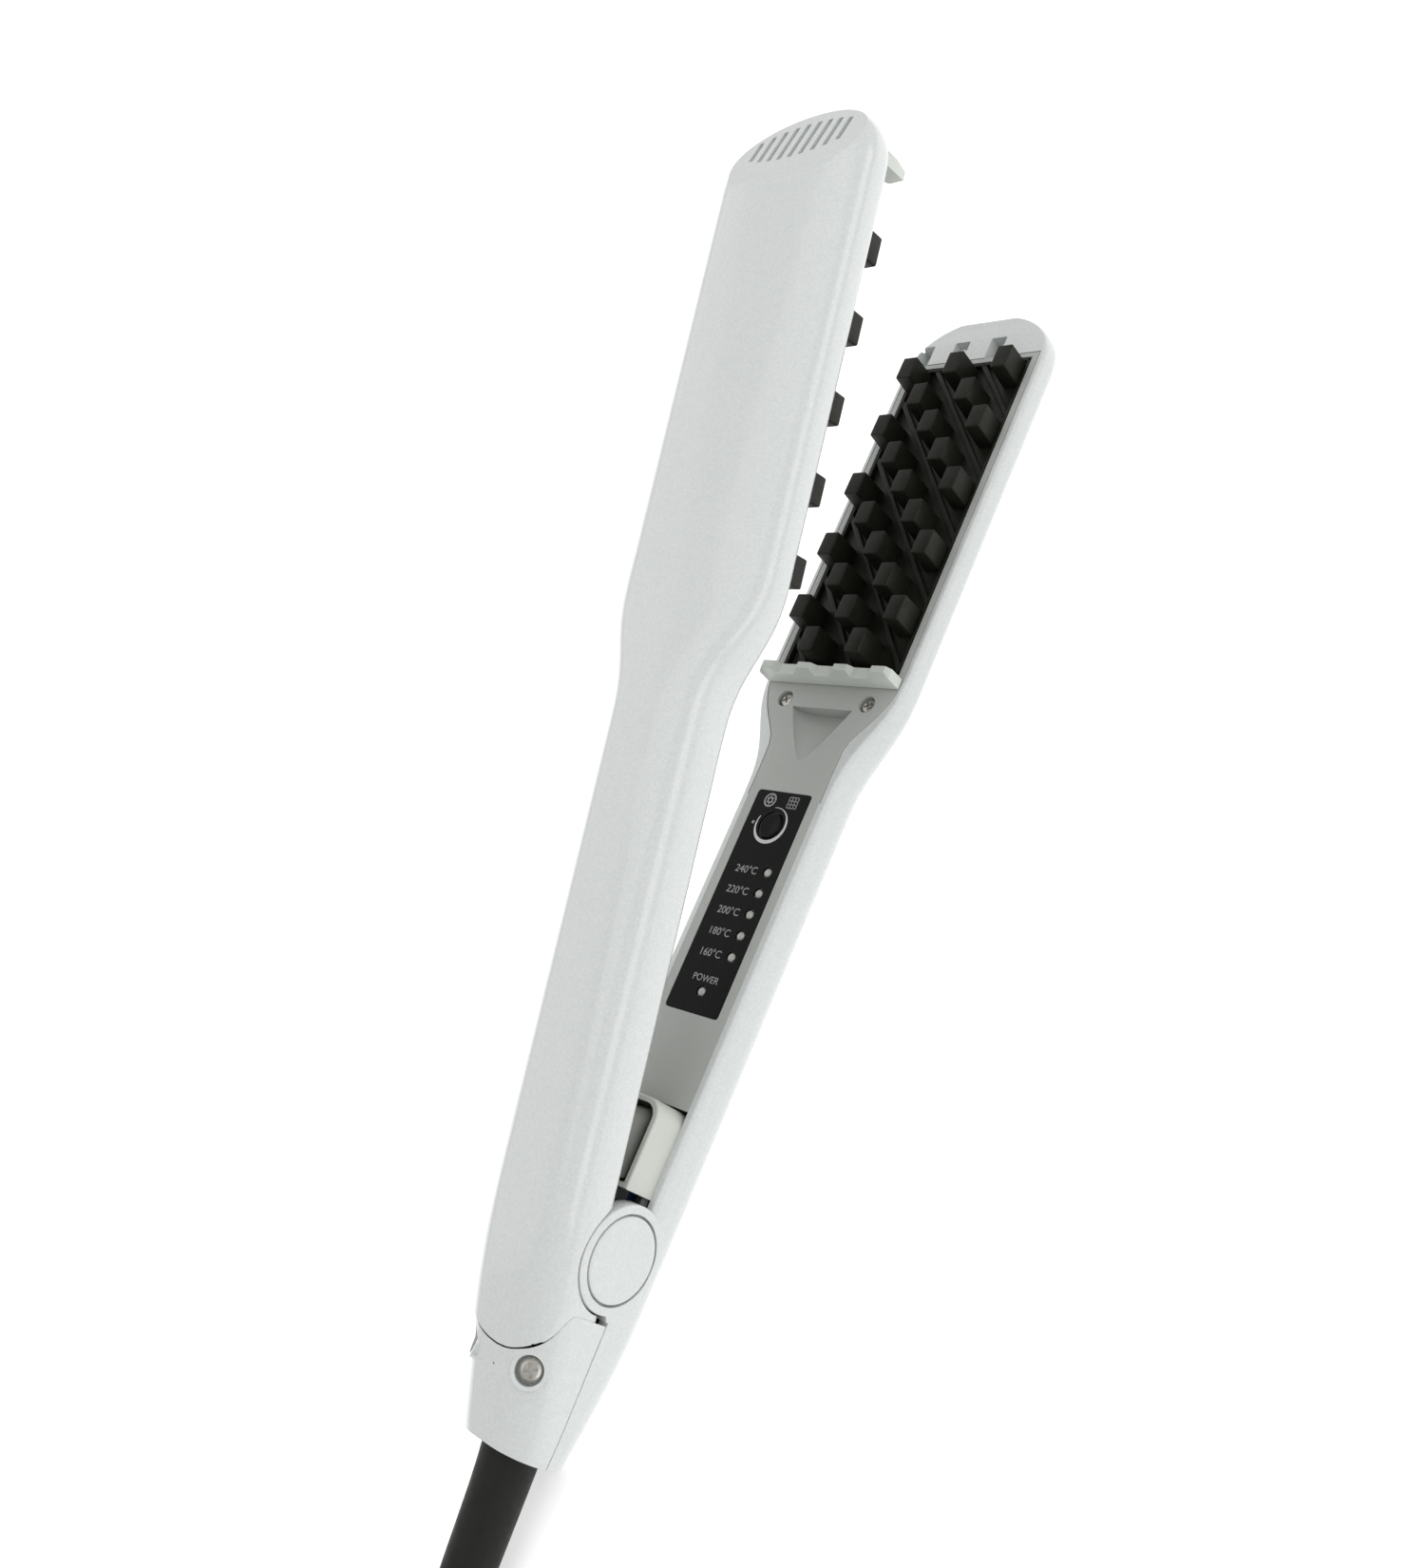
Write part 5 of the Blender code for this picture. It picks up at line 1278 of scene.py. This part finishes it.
# %% Screws
def cross_screw(name, arm, body, centre, axis, radius, thick, node):
    """A countersunk head with a cross recess; centre is the middle of its top."""
    bm = bmesh.new()
    profile = [(0.0, 0.10), (radius * 0.55, 0.07), (radius * 0.9, -0.03), (radius, -0.15),
               (radius * 0.78, -thick), (0.0, -thick)]
    turned(bm, profile, (0, 0, 0), (0, 0, 1), 40)
    head = as_object(name, bm)
    for turn in (28, 118):
        bm = bmesh.new()
        box(bm, (-radius * 0.62, -radius * 0.13, -thick * 0.75), (radius * 0.62, radius * 0.13, 1.0))
        bmesh.ops.rotate(bm, verts=bm.verts, cent=(0, 0, 0),
                         matrix=Matrix.Rotation(math.radians(turn), 3, "Z"))
        carve(head, as_object("slot", bm))
    head.data.transform(disc_matrix(centre, axis))
    finish_piece(head, arm, body, SCREW, "screw_steel", node)


for arm, side in (("lower", -1), ("upper", 1)):
    for (x, y), name in zip(SCREW_AT, ("near", "far")):
        cross_screw(f"panel_screw_{arm}_{name}", arm, arm + "_arm", (x, y, RIM[side] + side * 0.55),
                    (0, 0, -side), 1.7, 0.62, f"{arm}_screw_{name}")
for name, side in SIDES:
    tilt = mirrored(SCREW_TILT, side)
    cross_screw("cover_screw_" + name, "lower", "lower_arm", mirrored(TAIL_SCREW, side) - tilt * 2.35,
                tilt, 2.35, 1.1, "tail_screw_" + name)

# %% [markdown]
# Between the handles, just past the hinge, a cup on the upper arm dips into a box on the lower arm.
# A spring in them pushes the arms open. Both are plain thin-walled mouldings with rounded corners.


# %% Spring box and cup
def tub(bm, low, high, half, radius, floor, top, soften=0.0):
    """A block whose upright corners towards the tips are rounded; soften rounds its top edge."""
    verts = slab(bm, [(low, -half), (high, -half), (high, half), (low, half)], floor, top)
    corners = [e for v in verts for e in v.link_edges
               if abs(e.verts[0].co.z - e.verts[1].co.z) > 1 and e.verts[0].co.x > low + 1]
    round_edges(bm, set(corners), radius, 8)
    if soften:
        rim = [e for e in bm.edges if all(abs(v.co.z - top) < 0.01 for v in e.verts)]
        round_edges(bm, rim, soften, 3)


bm = bmesh.new()
tub(bm, 12.6, 31.2, 10.6, 4.0, -9.7, 4.5, 0.45)
spring_box = as_object("spring_well", bm)
bm = bmesh.new()
tub(bm, 13.7, 30.0, 9.4, 3.0, -8.0, 12.0)
carve(spring_box, as_object("well_room", bm))
finish_piece(spring_box, "lower", "lower_arm", CREAM, "comb_grey", "spring_box")
bm = bmesh.new()
tub(bm, 15.0, 28.6, 8.3, 2.6, -4.6, RIM[1] - 0.3)
cup = as_object("spring_plunger", bm)
bm = bmesh.new()
tub(bm, 16.0, 27.6, 7.3, 1.8, -20.0, RIM[1] - 1.5)
carve(cup, as_object("plunger_room", bm))
finish_piece(cup, "upper", "upper_arm", CUP, "cup_grey", "spring_cup")

# %% [markdown]
# What is left are the parts inside. Their CAD shape is right and hardly seen, so each keeps it and
# only gets its finish: steel for the pin and spring, ceramic for the heaters, mica for the sheets
# behind them, green solder mask for the board.

# %% Finishes for the inner parts
INNER = {"hinge_pin": STEEL, "hinge_washer_near": STEEL, "hinge_washer_far": STEEL,
         "opening_spring": STEEL, "lower_heater": CERAMIC, "upper_heater": CERAMIC,
         "lower_insulator": MICA, "upper_insulator": MICA, "circuit_board": BOARD,
         "tact_switch": FILM, "thermal_fuse": NICKEL, "cord_clamp": COMB,
         "mains_wire_brown": BROWN, "mains_wire_blue": BLUE}
for name, finish in INNER.items():
    node = frame["nodes"][name]
    node.data.materials.clear()
    node.data.materials.append(finish)
print("inner parts", len(INNER))

# %% [markdown]
# The crimper lies on a plain pale table under soft studio light: a large soft panel overhead, a long
# one at the near side that draws the bright band along the arms, and a weak one from behind. The
# table glows a little, so that it stays white up to its far corners and its shadows stay soft.

# %% Table and lights
TABLE_GLOW = 0.42
bm = bmesh.new()
bmesh.ops.create_grid(bm, x_segments=1, y_segments=1, size=3.0)
table = as_object("table", bm)
paper, paper_tree, paper_shader = new_finish("table_white", (0.93, 0.93, 0.93), 0.9, specular=0.1)
paper_shader.inputs["Emission Color"].default_value = (1.0, 1.0, 1.0, 1.0)
paper_shader.inputs["Emission Strength"].default_value = TABLE_GLOW
table.data.materials.append(paper)

world = bpy.data.worlds.new("studio")
bpy.context.scene.world = world
world.use_nodes = True
world.node_tree.nodes["Background"].inputs["Color"].default_value = (1.0, 1.0, 1.0, 1.0)
world.node_tree.nodes["Background"].inputs["Strength"].default_value = 0.7


def soft_light(name, at, aim, wide, tall, power):
    """A soft panel of light at a place, turned towards its aim."""
    lamp = bpy.data.lights.new(name, "AREA")
    lamp.shape = "RECTANGLE"
    lamp.size = wide
    lamp.size_y = tall
    lamp.energy = power
    obj = bpy.data.objects.new(name, lamp)
    obj.location = at
    obj.rotation_euler = (Vector(aim) - Vector(at)).to_track_quat("-Z", "Y").to_euler()
    bpy.context.scene.collection.objects.link(obj)


soft_light("overhead", (0.1, 0.1, 0.9), (0.05, 0.0, 0.0), 1.0, 1.0, 2.0)
soft_light("near_side", (0.15, -0.75, 0.45), (0.05, 0.0, 0.03), 1.2, 0.3, 1.6)
soft_light("far_side", (0.0, 0.8, 0.5), (0.05, 0.0, 0.03), 1.2, 0.5, 0.6)
bpy.context.scene.view_settings.view_transform = "Standard"
print("lights ready")
